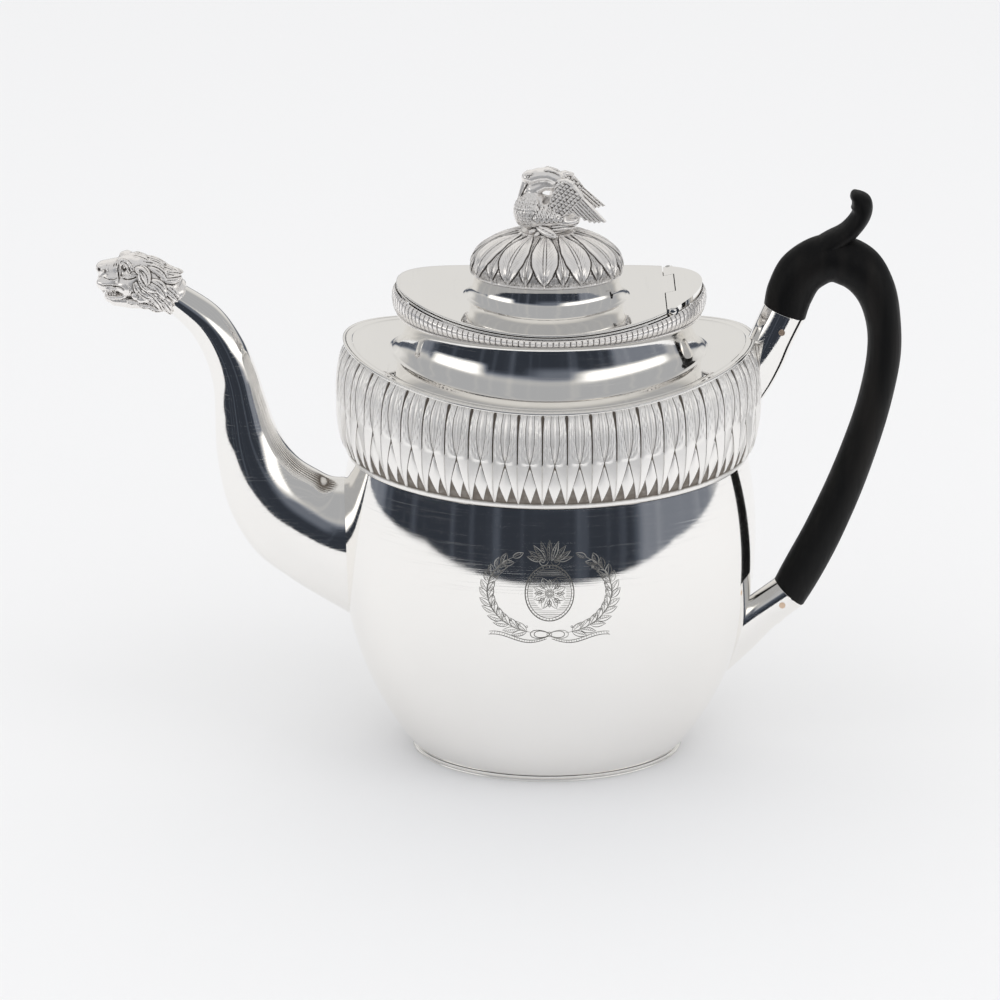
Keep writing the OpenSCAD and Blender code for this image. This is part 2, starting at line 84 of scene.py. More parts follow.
def noise(tree, vector, scale, detail):
    """Cloudy noise over places; scale is how many waves a unit holds."""
    return result(tree, "ShaderNodeTexNoise", {"Vector": vector, "Scale": scale, "Detail": detail})


def remap(tree, value, low, high, to_low=0.0, to_high=1.0, **settings):
    """A value's range from low to high, clamped and spread over another range."""
    ends = {"Value": value, "From Min": low, "From Max": high, "To Min": to_low, "To Max": to_high}
    return result(tree, "ShaderNodeMapRange", ends, **settings)


def blend(tree, share, start, end):
    """Colour between two colours."""
    ends = {"Factor": share, "A": start, "B": end}
    return add(tree, "ShaderNodeMix", ends, data_type="RGBA").outputs["Result"]


def new_group(name, kind, inputs, outputs):
    """Node group with named sockets, each a type and a first value, and its two end nodes."""
    group = bpy.data.node_groups.new(name, kind)
    for direction, sockets in (("INPUT", inputs), ("OUTPUT", outputs)):
        for label, (socket, first) in sockets.items():
            made = group.interface.new_socket(
                label, in_out=direction, socket_type="NodeSocket" + socket
            )
            if first is not None:
                made.default_value = first
    return group, group.nodes.new("NodeGroupInput"), group.nodes.new("NodeGroupOutput")


def new_material(name):
    """Empty material with its shader and output nodes."""
    material = bpy.data.materials.new(name)
    material.use_nodes = True
    tree = material.node_tree
    tree.nodes.clear()
    shader = add(tree, "ShaderNodeBsdfPrincipled")
    add(tree, "ShaderNodeOutputMaterial", {"Surface": shader.outputs[0]})
    return material, tree, shader


def put_in_scene(name, data):
    """Object of a mesh, a lamp or a camera, in the scene."""
    made = bpy.data.objects.new(name, data)
    scene.collection.objects.link(made)
    return made


def flat_sheet(name, outline):
    """Flat sheet on the table's level."""
    mesh = bpy.data.meshes.new(name)
    mesh.from_pydata([(x, y, 0) for x, y in outline], [], [range(len(outline))])
    sheet = put_in_scene(name, mesh)
    return sheet


table_material, tree, shader = new_material("table")
grain = result(tree, "ShaderNodeTexNoise", {"Scale": 3.0, "Detail": 2.0})
tone = remap(tree, grain, 0.0, 1.0, 0.985, 1.0)
tint = add(
    tree, "ShaderNodeMix", {"Factor": 1.0, "A": table_colour}, data_type="RGBA", blend_type="MULTIPLY"
)
tree.links.new(tone, tint.inputs["B"])
tree.links.new(tint.outputs["Result"], shader.inputs["Base Color"])
shader.inputs["Roughness"].default_value = 0.9
shader.inputs["Specular IOR Level"].default_value = 0.1

table = flat_sheet("table", table_edge + [(reach, reach), (-reach, reach)])
floor_in_front = flat_sheet("floor_in_front", [(-reach, -reach), (reach, -reach)] + table_edge[::-1])
# The silver sees the dark room beyond the table's front edge
floor_in_front.visible_glossy = False
for sheet in (table, floor_in_front):
    sheet.data.materials.append(table_material)

camera = put_in_scene("camera", bpy.data.cameras.new("camera"))
camera.data.lens = camera_lens
camera.data.clip_end = 50
camera.location = camera_place
camera.rotation_euler = (camera_tilt, 0, 0)
scene.camera = camera
scene.view_settings.view_transform = "Standard"


def soft_lamp(name, place, aim, size, watts):
    """Square soft lamp that lights the table and the wood, and that the silver doesn't show."""
    lamp = put_in_scene(name, bpy.data.lights.new(name, "AREA"))
    lamp.data.size = size
    lamp.data.energy = watts
    lamp.location = place
    x, y, z = np.array(aim) - np.array(place)
    lamp.rotation_euler = (math.atan2(math.hypot(x, y), -z), 0, math.atan2(y, x) - math.pi / 2)
    lamp.visible_glossy = False
    lamp.visible_camera = False


soft_lamp("lamp_right", (0.9, -0.5, 1.3), (0, 0, 0.1), 0.7, 2.2)
soft_lamp("lamp_left", (-0.9, -0.3, 1.4), (0, 0, 0.1), 0.9, 1.2)

# The room: each patch is a soft-edged window of azimuth and elevation in degrees, azimuth 0
# towards the camera and growing towards the handle's side, laid over what is under it.
room_patches = [
    # level, azimuth from, to, elevation from, to, softness sideways, softness upwards
    (0.70, -400, 400, 9, 400, 1, 8),
    (0.42, -125, 125, 9, 70, 15, 10),
    (0.74, -400, -125, 15, 30, 15, 4),
    (0.74, 125, 400, 15, 30, 15, 4),
    (0.42, -110, 110, -400, 6, 12, 4),
    (0.10, -174, -104, -12, 8, 6, 3),
    (0.10, 98, 174, -12, 8, 6, 3),
    (0.20, -108, -80, -400, 3, 6, 4),
    (0.04, -84, 40, -400, 8, 4, 6),
    (0.22, 38, 84, -400, 3, 5, 4),
    (0.17, -8, 16, -2, 9, 8, 4),
    (1.55, -78, -39, -1.5, 12, 6, 3),
    (1.55, 18, 80, 1.5, 13, 8, 3),
]
patch, seen, laid = new_group(
    "room_patch", "ShaderNodeTree",
    {"Azimuth": ("Float", 0.0), "Elevation": ("Float", 0.0), "Under": ("Float", 0.0),
     "Level": ("Float", 1.0), "Left": ("Float", 0.0), "Right": ("Float", 1.0), "Low": ("Float", 0.0),
     "High": ("Float", 1.0), "Soft Across": ("Float", 1.0), "Soft Up": ("Float", 1.0)},
    {"Level": ("Float", None)},
)
cover = None
for value, low, high, soft in (
    ("Azimuth", "Left", "Right", "Soft Across"), ("Elevation", "Low", "High", "Soft Up")
):
    for edge, sign in ((low, 1), (high, -1)):
        inside = calculate(patch, "SUBTRACT", seen.outputs[value], seen.outputs[edge])
        inside = calculate(patch, "MULTIPLY", inside, sign)
        inside = calculate(patch, "DIVIDE", inside, seen.outputs[soft])
        ramp = remap(patch, inside, -1.0, 1.0, interpolation_type="SMOOTHSTEP")
        cover = ramp if cover is None else calculate(patch, "MULTIPLY", cover, ramp)
mixed = add(
    patch, "ShaderNodeMix", {"Factor": cover, "A": seen.outputs["Under"], "B": seen.outputs["Level"]}
)
patch.links.new(mixed.outputs["Result"], laid.inputs["Level"])

world = bpy.data.worlds.new("room")
scene.world = world
world.use_nodes = True
world.cycles.sampling_method = "NONE"
tree = world.node_tree
tree.nodes.clear()
direction = add(tree, "ShaderNodeTexCoord").outputs["Generated"]
axes = add(tree, "ShaderNodeSeparateXYZ", {"Vector": direction}).outputs
azimuth = calculate(
    tree, "MULTIPLY", calculate(tree, "ARCTAN2", axes[0], calculate(tree, "MULTIPLY", axes[1], -1.0)),
    math.degrees(1),
)
elevation = calculate(tree, "MULTIPLY", calculate(tree, "ARCSINE", axes[2]), math.degrees(1))
bare_room = 0.52
level = bare_room
for row in room_patches:
    values = dict(zip(("Level", "Left", "Right", "Low", "High", "Soft Across", "Soft Up"), row))
    values.update({"Azimuth": azimuth, "Elevation": elevation, "Under": level})
    level = result(tree, "ShaderNodeGroup", values, node_tree=patch)
# Upright streaks of stands, doors and curtains stir the dark parts, which look a little blue
around = add(tree, "ShaderNodeCombineXYZ", {"X": azimuth})
streak = noise(tree, around.outputs[0], 0.12, 6.0)
level = calculate(tree, "ADD", level, remap(tree, streak, 0.5, 0.8, 0.0, 0.10))
dim, bright = (0.72, 0.86, 1.15, 1), (1.0, 0.99, 0.97, 1)
shade = blend(tree, remap(tree, level, 0.0, 0.5), dim, bright)
# Rays that light matt things see an even pale room, and the camera sees a pale wall
even_light = 1.03
wall_level = 0.86
ray = add(tree, "ShaderNodeLightPath").outputs
for kind, value in (("Is Diffuse Ray", even_light), ("Is Camera Ray", wall_level)):
    level = add(tree, "ShaderNodeMix", {"Factor": ray[kind], "A": level, "B": value}).outputs["Result"]
background = add(tree, "ShaderNodeBackground", {"Color": shade, "Strength": level})
add(tree, "ShaderNodeOutputWorld", {"Surface": background.outputs[0]})

# ---- Foot ------------------------------------------------------------------------------
# A reeded oval wire of solid silver, soldered under the body. The pot stands on its flat
# underside. A flat plate closes the body just above it.
oval = 0.70
foot_half = 52.6
foot_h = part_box("foot_rim")[1].z / mm
foot_deep = 2.4
plate_t = 1.3
foot_outline = [
    (-foot_deep, 0), (0.15, 0), (0.42, 0.12), (0.6, 0.5), (0.6, 0.78), (0.42, 1.1), (0.12, 1.3),
    (-0.12, 1.4), (0.0, 1.5), (0.22, 1.62), (0.3, 1.9), (0.22, 2.2), (-0.05, 2.42), (-0.4, 2.5),
    (-0.4, foot_h), (-foot_deep, foot_h),
]


def grid_faces(rows, across, loop_up, loop_round):
    """Faces between rows of points; the last row or the last point of each may join the first."""
    i, j = np.meshgrid(
        np.arange(rows if loop_up else rows - 1), np.arange(across if loop_round else across - 1),
        indexing="ij",
    )
    after, beside = (i + 1) % rows, (j + 1) % across
    return np.stack(
        [i * across + j, i * across + beside, after * across + beside, after * across + j], -1
    ).reshape(-1, 4)


def soften(mesh, sharp):
    """Smooth shading over edges that bend less than an angle in degrees."""
    mesh.shade_smooth()
    mesh.set_sharp_from_angle(angle=math.radians(sharp))


def closed_mesh(name, rings, loop=True, sharp=35):
    """Mesh through rings of points in millimetres; the last ring joins the first, or both ends close."""
    rings = np.asarray(rings, float)
    rows, across = rings.shape[:2]
    points = rings.reshape(-1, 3) * mm
    quads = grid_faces(rows, across, loop, True)
    a, b, c, d = (points[quads[:, k]] for k in range(4))
    volume = (a * (np.cross(b, c) + np.cross(c, d))).sum()
    faces = quads.tolist()
    if not loop:
        k = np.arange(across)
        for row, ahead, back in ((0, k, (k + 1) % across), (rows - 1, (k + 1) % across, k)):
            middle = rings[row].mean(0) * mm
            near, far = row * across + back, row * across + ahead
            volume += (points[near] * np.cross(points[far], middle)).sum()
            faces += [(int(i), int(j), len(points)) for i, j in zip(near, far)]
            points = np.vstack([points, middle])
    if volume < 0:
        faces = [face[::-1] for face in faces]
    mesh = bpy.data.meshes.new(name)
    mesh.from_pydata(points.tolist(), [], faces)
    mesh.update()
    soften(mesh, sharp)
    return put_in_scene(name, mesh)


def angles(count):
    """Even steps once round."""
    return np.linspace(0, 2 * np.pi, count, endpoint=False)


def oval_rings(outline, half, count=256, lift=None):
    """Ring for each point (out, up) of an outline round an oval; lift gives a height from x, up."""
    turn = angles(count)
    rings = []
    for out, up in outline:
        x = (half + out) * np.cos(turn)
        y = (half * oval + out) * np.sin(turn)
        rings.append(np.stack([x, y, np.full(count, float(up)) if lift is None else lift(x, up)], -1))
    return rings


def finish(piece, body, slot, material, *nodes):
    """The piece takes its material, rides on its body and stands for its nodes."""
    piece.data.materials.clear()
    piece.data.materials.append(material)
    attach(piece, body)
    if nodes:
        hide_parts(*nodes)


# Polished silver is a mirror with fine scratches from polishing cloths, which run round it,
# and faint smudges where it is handled
wear, given, put = new_group(
    "polish_wear", "ShaderNodeTree",
    {"Vector": ("Vector", None), "Smudges": ("Float", 0.05), "Roughness": ("Float", 0.04)},
    {"Roughness": ("Float", None), "Scratches": ("Float", None), "Tone": ("Float", None)},
)
scratches = None
for slant, stretch in (
    ((0, 0.04, 0), (24, 24, 4600)), ((0.3, 0.25, 0.2), (30, 40, 3900)), ((0, -0.35, 0.1), (30, 50, 4200))
):
    laid_along = result(
        wear, "ShaderNodeMapping", {"Vector": given.outputs["Vector"], "Rotation": slant, "Scale": stretch}
    )
    thin = remap(wear, noise(wear, laid_along, 1.0, 3.0), 0.45, 0.75)
    scratches = thin if scratches is None else calculate(wear, "ADD", scratches, thin)
smudge = remap(wear, noise(wear, given.outputs["Vector"], 38.0, 5.0), 0.45, 0.8)
rough = calculate(wear, "MULTIPLY_ADD", smudge, given.outputs["Smudges"], given.outputs["Roughness"])
# Where scratches cross they are deep enough to see
light_scratch, deep_scratch = 0.012, 0.13
rough = calculate(wear, "MULTIPLY_ADD", scratches, light_scratch, rough)
rough = calculate(wear, "MULTIPLY_ADD", remap(wear, scratches, 0.88, 1.7), deep_scratch, rough)
tone = remap(wear, smudge, 0.0, 1.0, 1.0, 0.965)
for label, value in (("Roughness", rough), ("Scratches", scratches), ("Tone", tone)):
    wear.links.new(value, put.inputs[label])


def paint(tree, shader, colour, rough, height, relief_depth):
    """Join a colour, a roughness and a fine relief, its depth in millimetres, to a shader."""
    bump = {"Height": height, "Distance": relief_depth * mm, "Strength": 1.0}
    tree.links.new(colour, shader.inputs["Base Color"])
    tree.links.new(rough, shader.inputs["Roughness"])
    tree.links.new(result(tree, "ShaderNodeBump", bump), shader.inputs["Normal"])


def silver(name, colour, smudges, roughness, scratch_depth):
    """Polished silver with its own shade and wear."""
    material, tree, shader = new_material(name)
    place = add(tree, "ShaderNodeTexCoord").outputs["Object"]
    worn = add(
        tree, "ShaderNodeGroup", {"Vector": place, "Smudges": smudges, "Roughness": roughness},
        node_tree=wear,
    ).outputs
    shade = blend(tree, worn["Tone"], (0.75, 0.71, 0.66, 1), colour)
    paint(tree, shader, shade, worn["Roughness"], worn["Scratches"], scratch_depth)
    shader.inputs["Metallic"].default_value = 1.0
    return material


polished = silver("polished_silver", (0.955, 0.94, 0.915, 1), 0.05, 0.035, 0.0009)
foot_rim = closed_mesh("foot_rim", oval_rings(foot_outline, foot_half))
finish(foot_rim, "pot", "polished_silver", polished, "foot_rim")

# ---- Body ------------------------------------------------------------------------------
# Raised from one sheet of silver: a plump oval egg, cut off level at the foot and in a
# shallow curve under the leaf band. Straining holes are drilled where the spout is fixed.
body_half = 80.8
belly_z = 88
belly_rise = 112.8
wall = 1.3
band_z = 121.1
edge_dip = 2.5
flange_half = 77.4
edge_arc = flange_half ** 2 / (2 * edge_dip)


def arc_height(low, radius, x):
    """Height over x of an arc with its lowest point in the middle of the pot."""
    return low + radius - np.sqrt(radius ** 2 - x ** 2)


def belly_level(z, thinner=0.0):
    """Half length and half depth of the belly at a height."""
    share = np.sqrt(np.maximum(1 - ((z - belly_z) / (belly_rise - thinner)) ** 2, 0))
    return (body_half - thinner) * share, (body_half * oval - thinner) * share


def belly_rings(heights, thinner, count):
    """Rings up the belly; a height is a share of the way from the foot to the curved edge."""
    turn = angles(count)
    rings = []
    for share in heights:
        z = np.full(count, band_z, float)
        for _ in range(6):
            edge = arc_height(band_z, edge_arc, belly_level(z, thinner)[0] * np.cos(turn))
            z = foot_h + (edge - foot_h) * share
        half, depth = belly_level(z, thinner)
        rings.append(np.stack([half * np.cos(turn), depth * np.sin(turn), z], -1))
    return rings


def through_tree(name, start, tree, values):
    """Plain mesh object that a Geometry Nodes tree makes from a mesh."""
    source = put_in_scene(name + "_source", start)
    modifier = source.modifiers.new("tree", "NODES")
    modifier.node_group = tree
    for item in tree.interface.items_tree:
        if item.in_out == "INPUT" and item.name in values:
            modifier[item.identifier] = values[item.name]
    seen = source.evaluated_get(bpy.context.evaluated_depsgraph_get())
    mesh = bpy.data.meshes.new_from_object(seen)
    mesh.name = name
    made = put_in_scene(name, mesh)
    bpy.data.objects.remove(source)
    return made


def give_back(tree, geometry, asked, given_back):
    """End a tree: what it gives back is its geometry in the asked material."""
    coat = {"Geometry": geometry, "Material": asked.outputs["Material"]}
    tree.links.new(result(tree, "GeometryNodeSetMaterial", coat), given_back.inputs[0])


# Drills three columns of holes through the spout's end of the belly, the outer two raised by
# half a step
strain, asked, given_back = new_group(
    "straining_holes", "GeometryNodeTree",
    {"Geometry": ("Geometry", None), "Radius": ("Float", 0.00125), "Step": ("Float", 0.0046),
     "Rows": ("Int", 9), "Low": ("Float", 0.068), "Place": ("Float", -0.08), "Depth": ("Float", 0.04),
     "Material": ("Material", None)},
    {"Geometry": ("Geometry", None)},
)
drill = add(strain, "GeometryNodeMeshCylinder", {
    "Vertices": 20, "Radius": asked.outputs["Radius"], "Depth": asked.outputs["Depth"],
}).outputs["Mesh"]
drill = result(strain, "GeometryNodeTransform", {"Geometry": drill, "Rotation": (0, math.radians(90), 0)})
columns = result(strain, "GeometryNodeMeshLine", {"Count": 3, "Offset": (0, 0, 0)})
column = result(strain, "GeometryNodeInputIndex")
beside = calculate(strain, "MULTIPLY", calculate(strain, "SUBTRACT", column, 1.0), asked.outputs["Step"])
lift = calculate(strain, "MULTIPLY", calculate(strain, "ABSOLUTE", beside), 0.5)
first = result(strain, "ShaderNodeCombineXYZ", {
    "X": asked.outputs["Place"], "Y": beside, "Z": calculate(strain, "ADD", lift, asked.outputs["Low"]),
})
columns = result(strain, "GeometryNodeSetPosition", {"Geometry": columns, "Position": first})
up_step = result(strain, "ShaderNodeCombineXYZ", {"Z": asked.outputs["Step"]})
upright = result(strain, "GeometryNodeMeshLine", {"Count": asked.outputs["Rows"], "Offset": up_step})
upright = result(strain, "GeometryNodeInstanceOnPoints", {"Points": upright, "Instance": drill})
drills = result(strain, "GeometryNodeInstanceOnPoints", {"Points": columns, "Instance": upright})
drills = result(strain, "GeometryNodeRealizeInstances", {"Geometry": drills})
drilled = strain.nodes.new("GeometryNodeMeshBoolean")
drilled.operation = "DIFFERENCE"
drilled.solver = "EXACT"
strain.links.new(asked.outputs["Geometry"], drilled.inputs["Mesh 1"])
strain.links.new(drills, drilled.inputs["Mesh 2"])
drilled = result(strain, "GeometryNodeRealizeInstances", {"Geometry": drilled.outputs[0]})
give_back(strain, drilled, asked, given_back)

up = np.linspace(0, 1, 90)
plain_shell = closed_mesh("plain_shell", belly_rings(up, 0, 320) + belly_rings(up[::-2], wall, 320))
body_shell = through_tree("body_shell", plain_shell.data, strain, {"Material": polished})
bpy.data.objects.remove(plain_shell)
soften(body_shell.data, 30)
finish(body_shell, "pot", "polished_silver", polished, "body_shell")
plate_half, plate_depth = belly_level(np.array([foot_h + plate_t / 2]), wall)
base_plate = closed_mesh("base_plate", [
    np.stack([(plate_half[0] + out) * np.cos(angles(192)), (plate_depth[0] + out) * np.sin(angles(192)),
              np.full(192, foot_h + rise)], -1)
    for out, rise in [(-30, 0), (-0.3, 0), (-0.1, 0.1), (0, plate_t - 0.1), (-0.3, plate_t), (-30, plate_t)]
], loop=False)
finish(base_plate, "pot", "polished_silver", polished, "base_plate")

# ---- Spout -----------------------------------------------------------------------------
# A hollow curved tube of sheet silver, oval in section, swelling low down where it meets the
# body, soldered round the straining holes.
spout_wall = 1.2
spout_path = np.array([
    # x, z, half height, half width, heading in degrees
    (-70, 82.5, 31, 16.2, 180), (-84, 87, 25.6, 14.2, 176), (-95, 93.5, 23, 13.2, 166),
    (-105, 101.5, 21, 12.4, 155), (-112.4, 113.5, 17.7, 11.3, 142), (-116.6, 128, 13.6, 10, 126),
    (-118.3, 142, 10.4, 8.7, 108), (-120.2, 154, 8.9, 7.6, 107), (-124.2, 166, 8.1, 6.9, 114),
    (-131.2, 177.4, 7.3, 6.4, 132), (-142.2, 186.6, 5.9, 5.7, 152),
])


def smooth_path(stations, places):
    """Stations of a smooth curve through the given ones; places count in stations."""
    p = np.asarray(stations, float)
    places = np.asarray(places, float)
    i = np.clip(np.floor(places).astype(int), 0, len(p) - 2)
    t = (places - i)[:, None]
    a, b, c, d = p[np.maximum(i - 1, 0)], p[i], p[i + 1], p[np.minimum(i + 2, len(p) - 1)]
    squared, cubed = 2 * a - 5 * b + 4 * c - d, 3 * b - a - 3 * c + d
    return 0.5 * (2 * b + (c - a) * t + squared * t ** 2 + cubed * t ** 3)


def tube_points(station, turn, thinner=0.0):
    """Points across a tube at a station, at the given angles round it."""
    x, z, height, width, heading = np.moveaxis(np.asarray(station, float), -1, 0)
    heading = np.radians(heading)
    up = (height - thinner) * np.cos(turn)
    return np.stack([
        x - np.sin(heading) * up, (width - thinner) * np.sin(turn), z + np.cos(heading) * up
    ], -1)


def outside_belly(points, thinner=0.0):
    """Above 0 where a point is outside the belly."""
    sizes = np.array([body_half - thinner, body_half * oval - thinner, belly_rise - thinner])
    return (((points - (0, 0, belly_z)) / sizes) ** 2).sum(-1) - 1


def trimmed_tube(path, outside, steps, count, thinner=0.0):
    """Rings of a tube whose near end is cut off exactly at a surface, where outside() is 0."""
    turn = angles(count)
    near, far = np.zeros(count), np.full(count, float(len(path) - 1))
    for place in np.linspace(0, len(path) - 1, 200):
        points = tube_points(smooth_path(path, np.full(count, place)), turn, thinner)
        near = np.where(outside(points) < 0, place, near)
    low, high = near, np.minimum(near + (len(path) - 1) / 199, len(path) - 1)
    for _ in range(24):
        middle = (low + high) / 2
        inside = outside(tube_points(smooth_path(path, middle), turn, thinner)) < 0
        low, high = np.where(inside, middle, low), np.where(inside, high, middle)
    return [
        tube_points(smooth_path(path, high + (far - high) * share), turn, thinner)
        for share in np.linspace(0, 1, steps)
    ]


spout_out = trimmed_tube(spout_path, outside_belly, 170, 96)
spout_in = trimmed_tube(spout_path, outside_belly, 90, 96, spout_wall)
spout = closed_mesh("spout", spout_out + spout_in[::-1])
finish(spout, "pot", "polished_silver", polished, "spout")

# Chased silver: the tops are rubbed bright, the recesses are dark with old tarnish and polish
tool_marks, given, put = new_group(
    "tool_marks", "ShaderNodeTree",
    {"Vector": ("Vector", None), "Relief": ("Float", 1.0)},
    {"Tarnish": ("Float", None), "Marks": ("Float", None)},
)
place = given.outputs["Vector"]
height = calculate(
    tool_marks, "MULTIPLY_ADD", noise(tool_marks, place, 420.0, 4.0), 0.35, given.outputs["Relief"]
)
depth = remap(tool_marks, height, 0.3, 0.95, 1.0, 0.0, interpolation_type="SMOOTHSTEP")
dots = result(tool_marks, "ShaderNodeTexVoronoi", {"Vector": place, "Scale": 2400.0})
marks = calculate(tool_marks, "MULTIPLY_ADD", dots, 0.5, noise(tool_marks, place, 1500.0, 3.0))
tool_marks.links.new(depth, put.inputs["Tarnish"])
tool_marks.links.new(marks, put.inputs["Marks"])


def chased_silver(name, bright, dark, rough_from, rough_to, mark_depth, mirror=0.62):
    """Chased silver with its own tarnish; its pieces carry how far each place stands out."""
    material, tree, shader = new_material(name)
    relief = add(tree, "ShaderNodeAttribute", attribute_name="relief").outputs["Fac"]
    place = add(tree, "ShaderNodeTexCoord").outputs["Object"]
    marked = add(tree, "ShaderNodeGroup", {"Vector": place, "Relief": relief}, node_tree=tool_marks).outputs
    shade = blend(tree, marked["Tarnish"], bright, dark)
    rough = remap(tree, marked["Tarnish"], 0.0, 1.0, rough_from, rough_to)
    paint(tree, shader, shade, rough, marked["Marks"], mark_depth)
    shader.inputs["Metallic"].default_value = mirror
    return material


chased = chased_silver("chased_silver", (0.93, 0.90, 0.87, 1), (0.10, 0.088, 0.078, 1), 0.17, 0.5, 0.012)

# ---- Lion's head -----------------------------------------------------------------------
# A solid silver casting fitted over the spout's end, finished with a chasing tool: square
# muzzle, open jaws with teeth, deep-set eyes and a mane of curling locks. Coffee pours
# through a round channel in its mouth.


class Casting:
    """Block of points with their distance from a surface that is built up like wax."""

    def __init__(self, low, high, cell):
        self.cell = cell
        self.low = np.array(low, float)
        counts = np.ceil((np.array(high) - self.low) / cell).astype(int) + 1
        self.lines = [self.low[k] + cell * np.arange(counts[k]) for k in range(3)]
        self.reach = 1.6
        self.margin = 1.2
        self.field = np.full(counts, self.reach, np.float32)

    def part(self, low, high):
        """The block's cells in and near a box, and their points."""
        cells = tuple(
            slice(np.searchsorted(line, low[k] - self.margin), np.searchsorted(line, high[k] + self.margin))
            for k, line in enumerate(self.lines)
        )
        points = np.meshgrid(*(line[cell] for line, cell in zip(self.lines, cells)), indexing="ij")
        return cells, np.stack(points, -1).astype(np.float32)

    def merge(self, cells, found, soft, cut=False):
        """Join a shape to the surface with a soft seam, or cut it away."""
        old = self.field[cells]
        if cut:
            old, found = -old, found
        mixing = np.clip(0.5 + 0.5 * (found - old) / soft, 0, 1)
        new = found * (1 - mixing) + old * mixing - soft * mixing * (1 - mixing)
        self.field[cells] = np.clip(-new if cut else new, -self.reach, self.reach)

    def egg(self, place, sizes, axes=None, soft=0.6, cut=False, groove=0.0, bend=0.0, groove_wide=0.3):
        """Add an egg. axes are its long, side and outward directions; groove is a line along it."""
        place, sizes = np.array(place, float), np.array(sizes, float)
        axes = np.eye(3) if axes is None else np.array(axes, float)
        extent = np.sqrt((((axes * sizes[:, None]) ** 2).sum(0))) + abs(bend) * sizes[0] ** 2
        cells, points = self.part(place - extent, place + extent)
        local = (points - place.astype(np.float32)) @ axes.T.astype(np.float32)
        if bend:
            local[..., 1] += bend * local[..., 0] ** 2
        near = np.sqrt(((local / sizes) ** 2).sum(-1)) + 1e-6
        steep = np.sqrt(((local / sizes ** 2) ** 2).sum(-1)) + 1e-6
        found = near * (near - 1) / steep
        if groove:
            found = found + groove * np.exp(-(local[..., 1] / groove_wide) ** 2)
        self.merge(cells, found, soft, cut)

    def limb(self, stations, soft=0.6, cut=False, middle=0.0):
        """Add a round limb through stations of x, z, radius and how wide it is for its height."""
        s = np.array(stations, float)
        most = s[:, 2].max() * max(1, s[:, 3].max())
        low = (s[:, 0].min() - most, middle - most, s[:, 1].min() - most)
        high = (s[:, 0].max() + most, middle + most, s[:, 1].max() + most)
        cells, points = self.part(low, high)
        found = None
        for a, b in zip(s[:-1], s[1:]):
            step = b[:2] - a[:2]
            x, y, z = points[..., 0] - a[0], points[..., 1] - middle, points[..., 2] - a[1]
            t = np.clip((x * step[0] + z * step[1]) / (step @ step), 0, 1)
            radius = a[2] + (b[2] - a[2]) * t
            wide = a[3] + (b[3] - a[3]) * t
            away = np.sqrt((x - step[0] * t) ** 2 + (z - step[1] * t) ** 2 + (y / wide) ** 2) - radius
            away = away * np.minimum(wide, 1)
            found = away if found is None else np.minimum(found, away)
        self.merge(cells, found, soft, cut)

    def slab(self, outline, side, thickness, soft=0.3, cut=False, relief=None, frame_at=None):
        """Add a plate with an outline in a plane. frame_at is its origin and its two axes;
        relief gives how much lower its faces are at places in the plane."""
        origin, along, up = (np.array(v, float) for v in frame_at)
        out = np.cross(along, up)
        corners = np.array([origin + along * a + up * b for a, b in outline])
        most = 2.0 if callable(thickness) else thickness
        cells, points = self.part(corners.min(0) - most, corners.max(0) + most)
        local = points - origin.astype(np.float32)
        a, b, c = (local @ axis.astype(np.float32) for axis in (along, up, out))
        edge = polygon_distance(a, b, outline)
        thick = thickness(a, b) if callable(thickness) else thickness
        faces = np.abs(c - side) - thick
        if relief is not None:
            faces = faces + relief(a, b)
        edge = edge + 0.15
        inside = np.minimum(np.maximum(edge, faces), 0)
        outside = np.sqrt(np.maximum(edge, 0) ** 2 + np.maximum(faces, 0) ** 2)
        self.merge(cells, inside + outside - 0.15, soft, cut)

    def on_side(self, x, height, side, lean=0.404):
        """Place on the surface beside the head, lifted by its distance from the middle, and its
        outward direction."""
        z = height + 2.0
        for _ in range(3):
            i, k = (int(round((v - self.low[axis]) / self.cell)) for v, axis in ((x, 0), (z, 2)))
            solid = np.nonzero(self.field[i, :, k] < 0)[0]
            if not len(solid):
                return None, None
            j = solid[-1] if side > 0 else solid[0]
            z = height + lean * abs(self.lines[1][j])
        step = 3
        slope = np.array([
            self.field[i + step, j, k] - self.field[i - step, j, k],
            self.field[i, j + step, k] - self.field[i, j - step, k],
            self.field[i, j, k + step] - self.field[i, j, k - step],
        ], float)
        return np.array([x, self.lines[1][j], z]), slope / np.linalg.norm(slope)

    def crease(self, outline, side, wide, high, cut=False, soft=0.12):
        """Raise a fold of skin along a line on the side of the head, or cut a groove."""
        line = np.array(outline, float)
        fine = np.linspace(0, len(line) - 1, 4 * (len(line) - 1) + 1)
        spots = [self.on_side(x, z, side) for x, z in smooth_path(line, fine)]
        for (a, out_a), (b, out_b) in zip(spots, spots[1:]):
            if a is not None and b is not None and np.linalg.norm(b - a) > 1e-3:
                outward = out_a + out_b
                self.egg(
                    (a + b) / 2, (max(np.linalg.norm(b - a) * 0.8, wide), wide, high),
                    turned(b - a, outward / np.linalg.norm(outward)), soft=soft, cut=cut,
                )

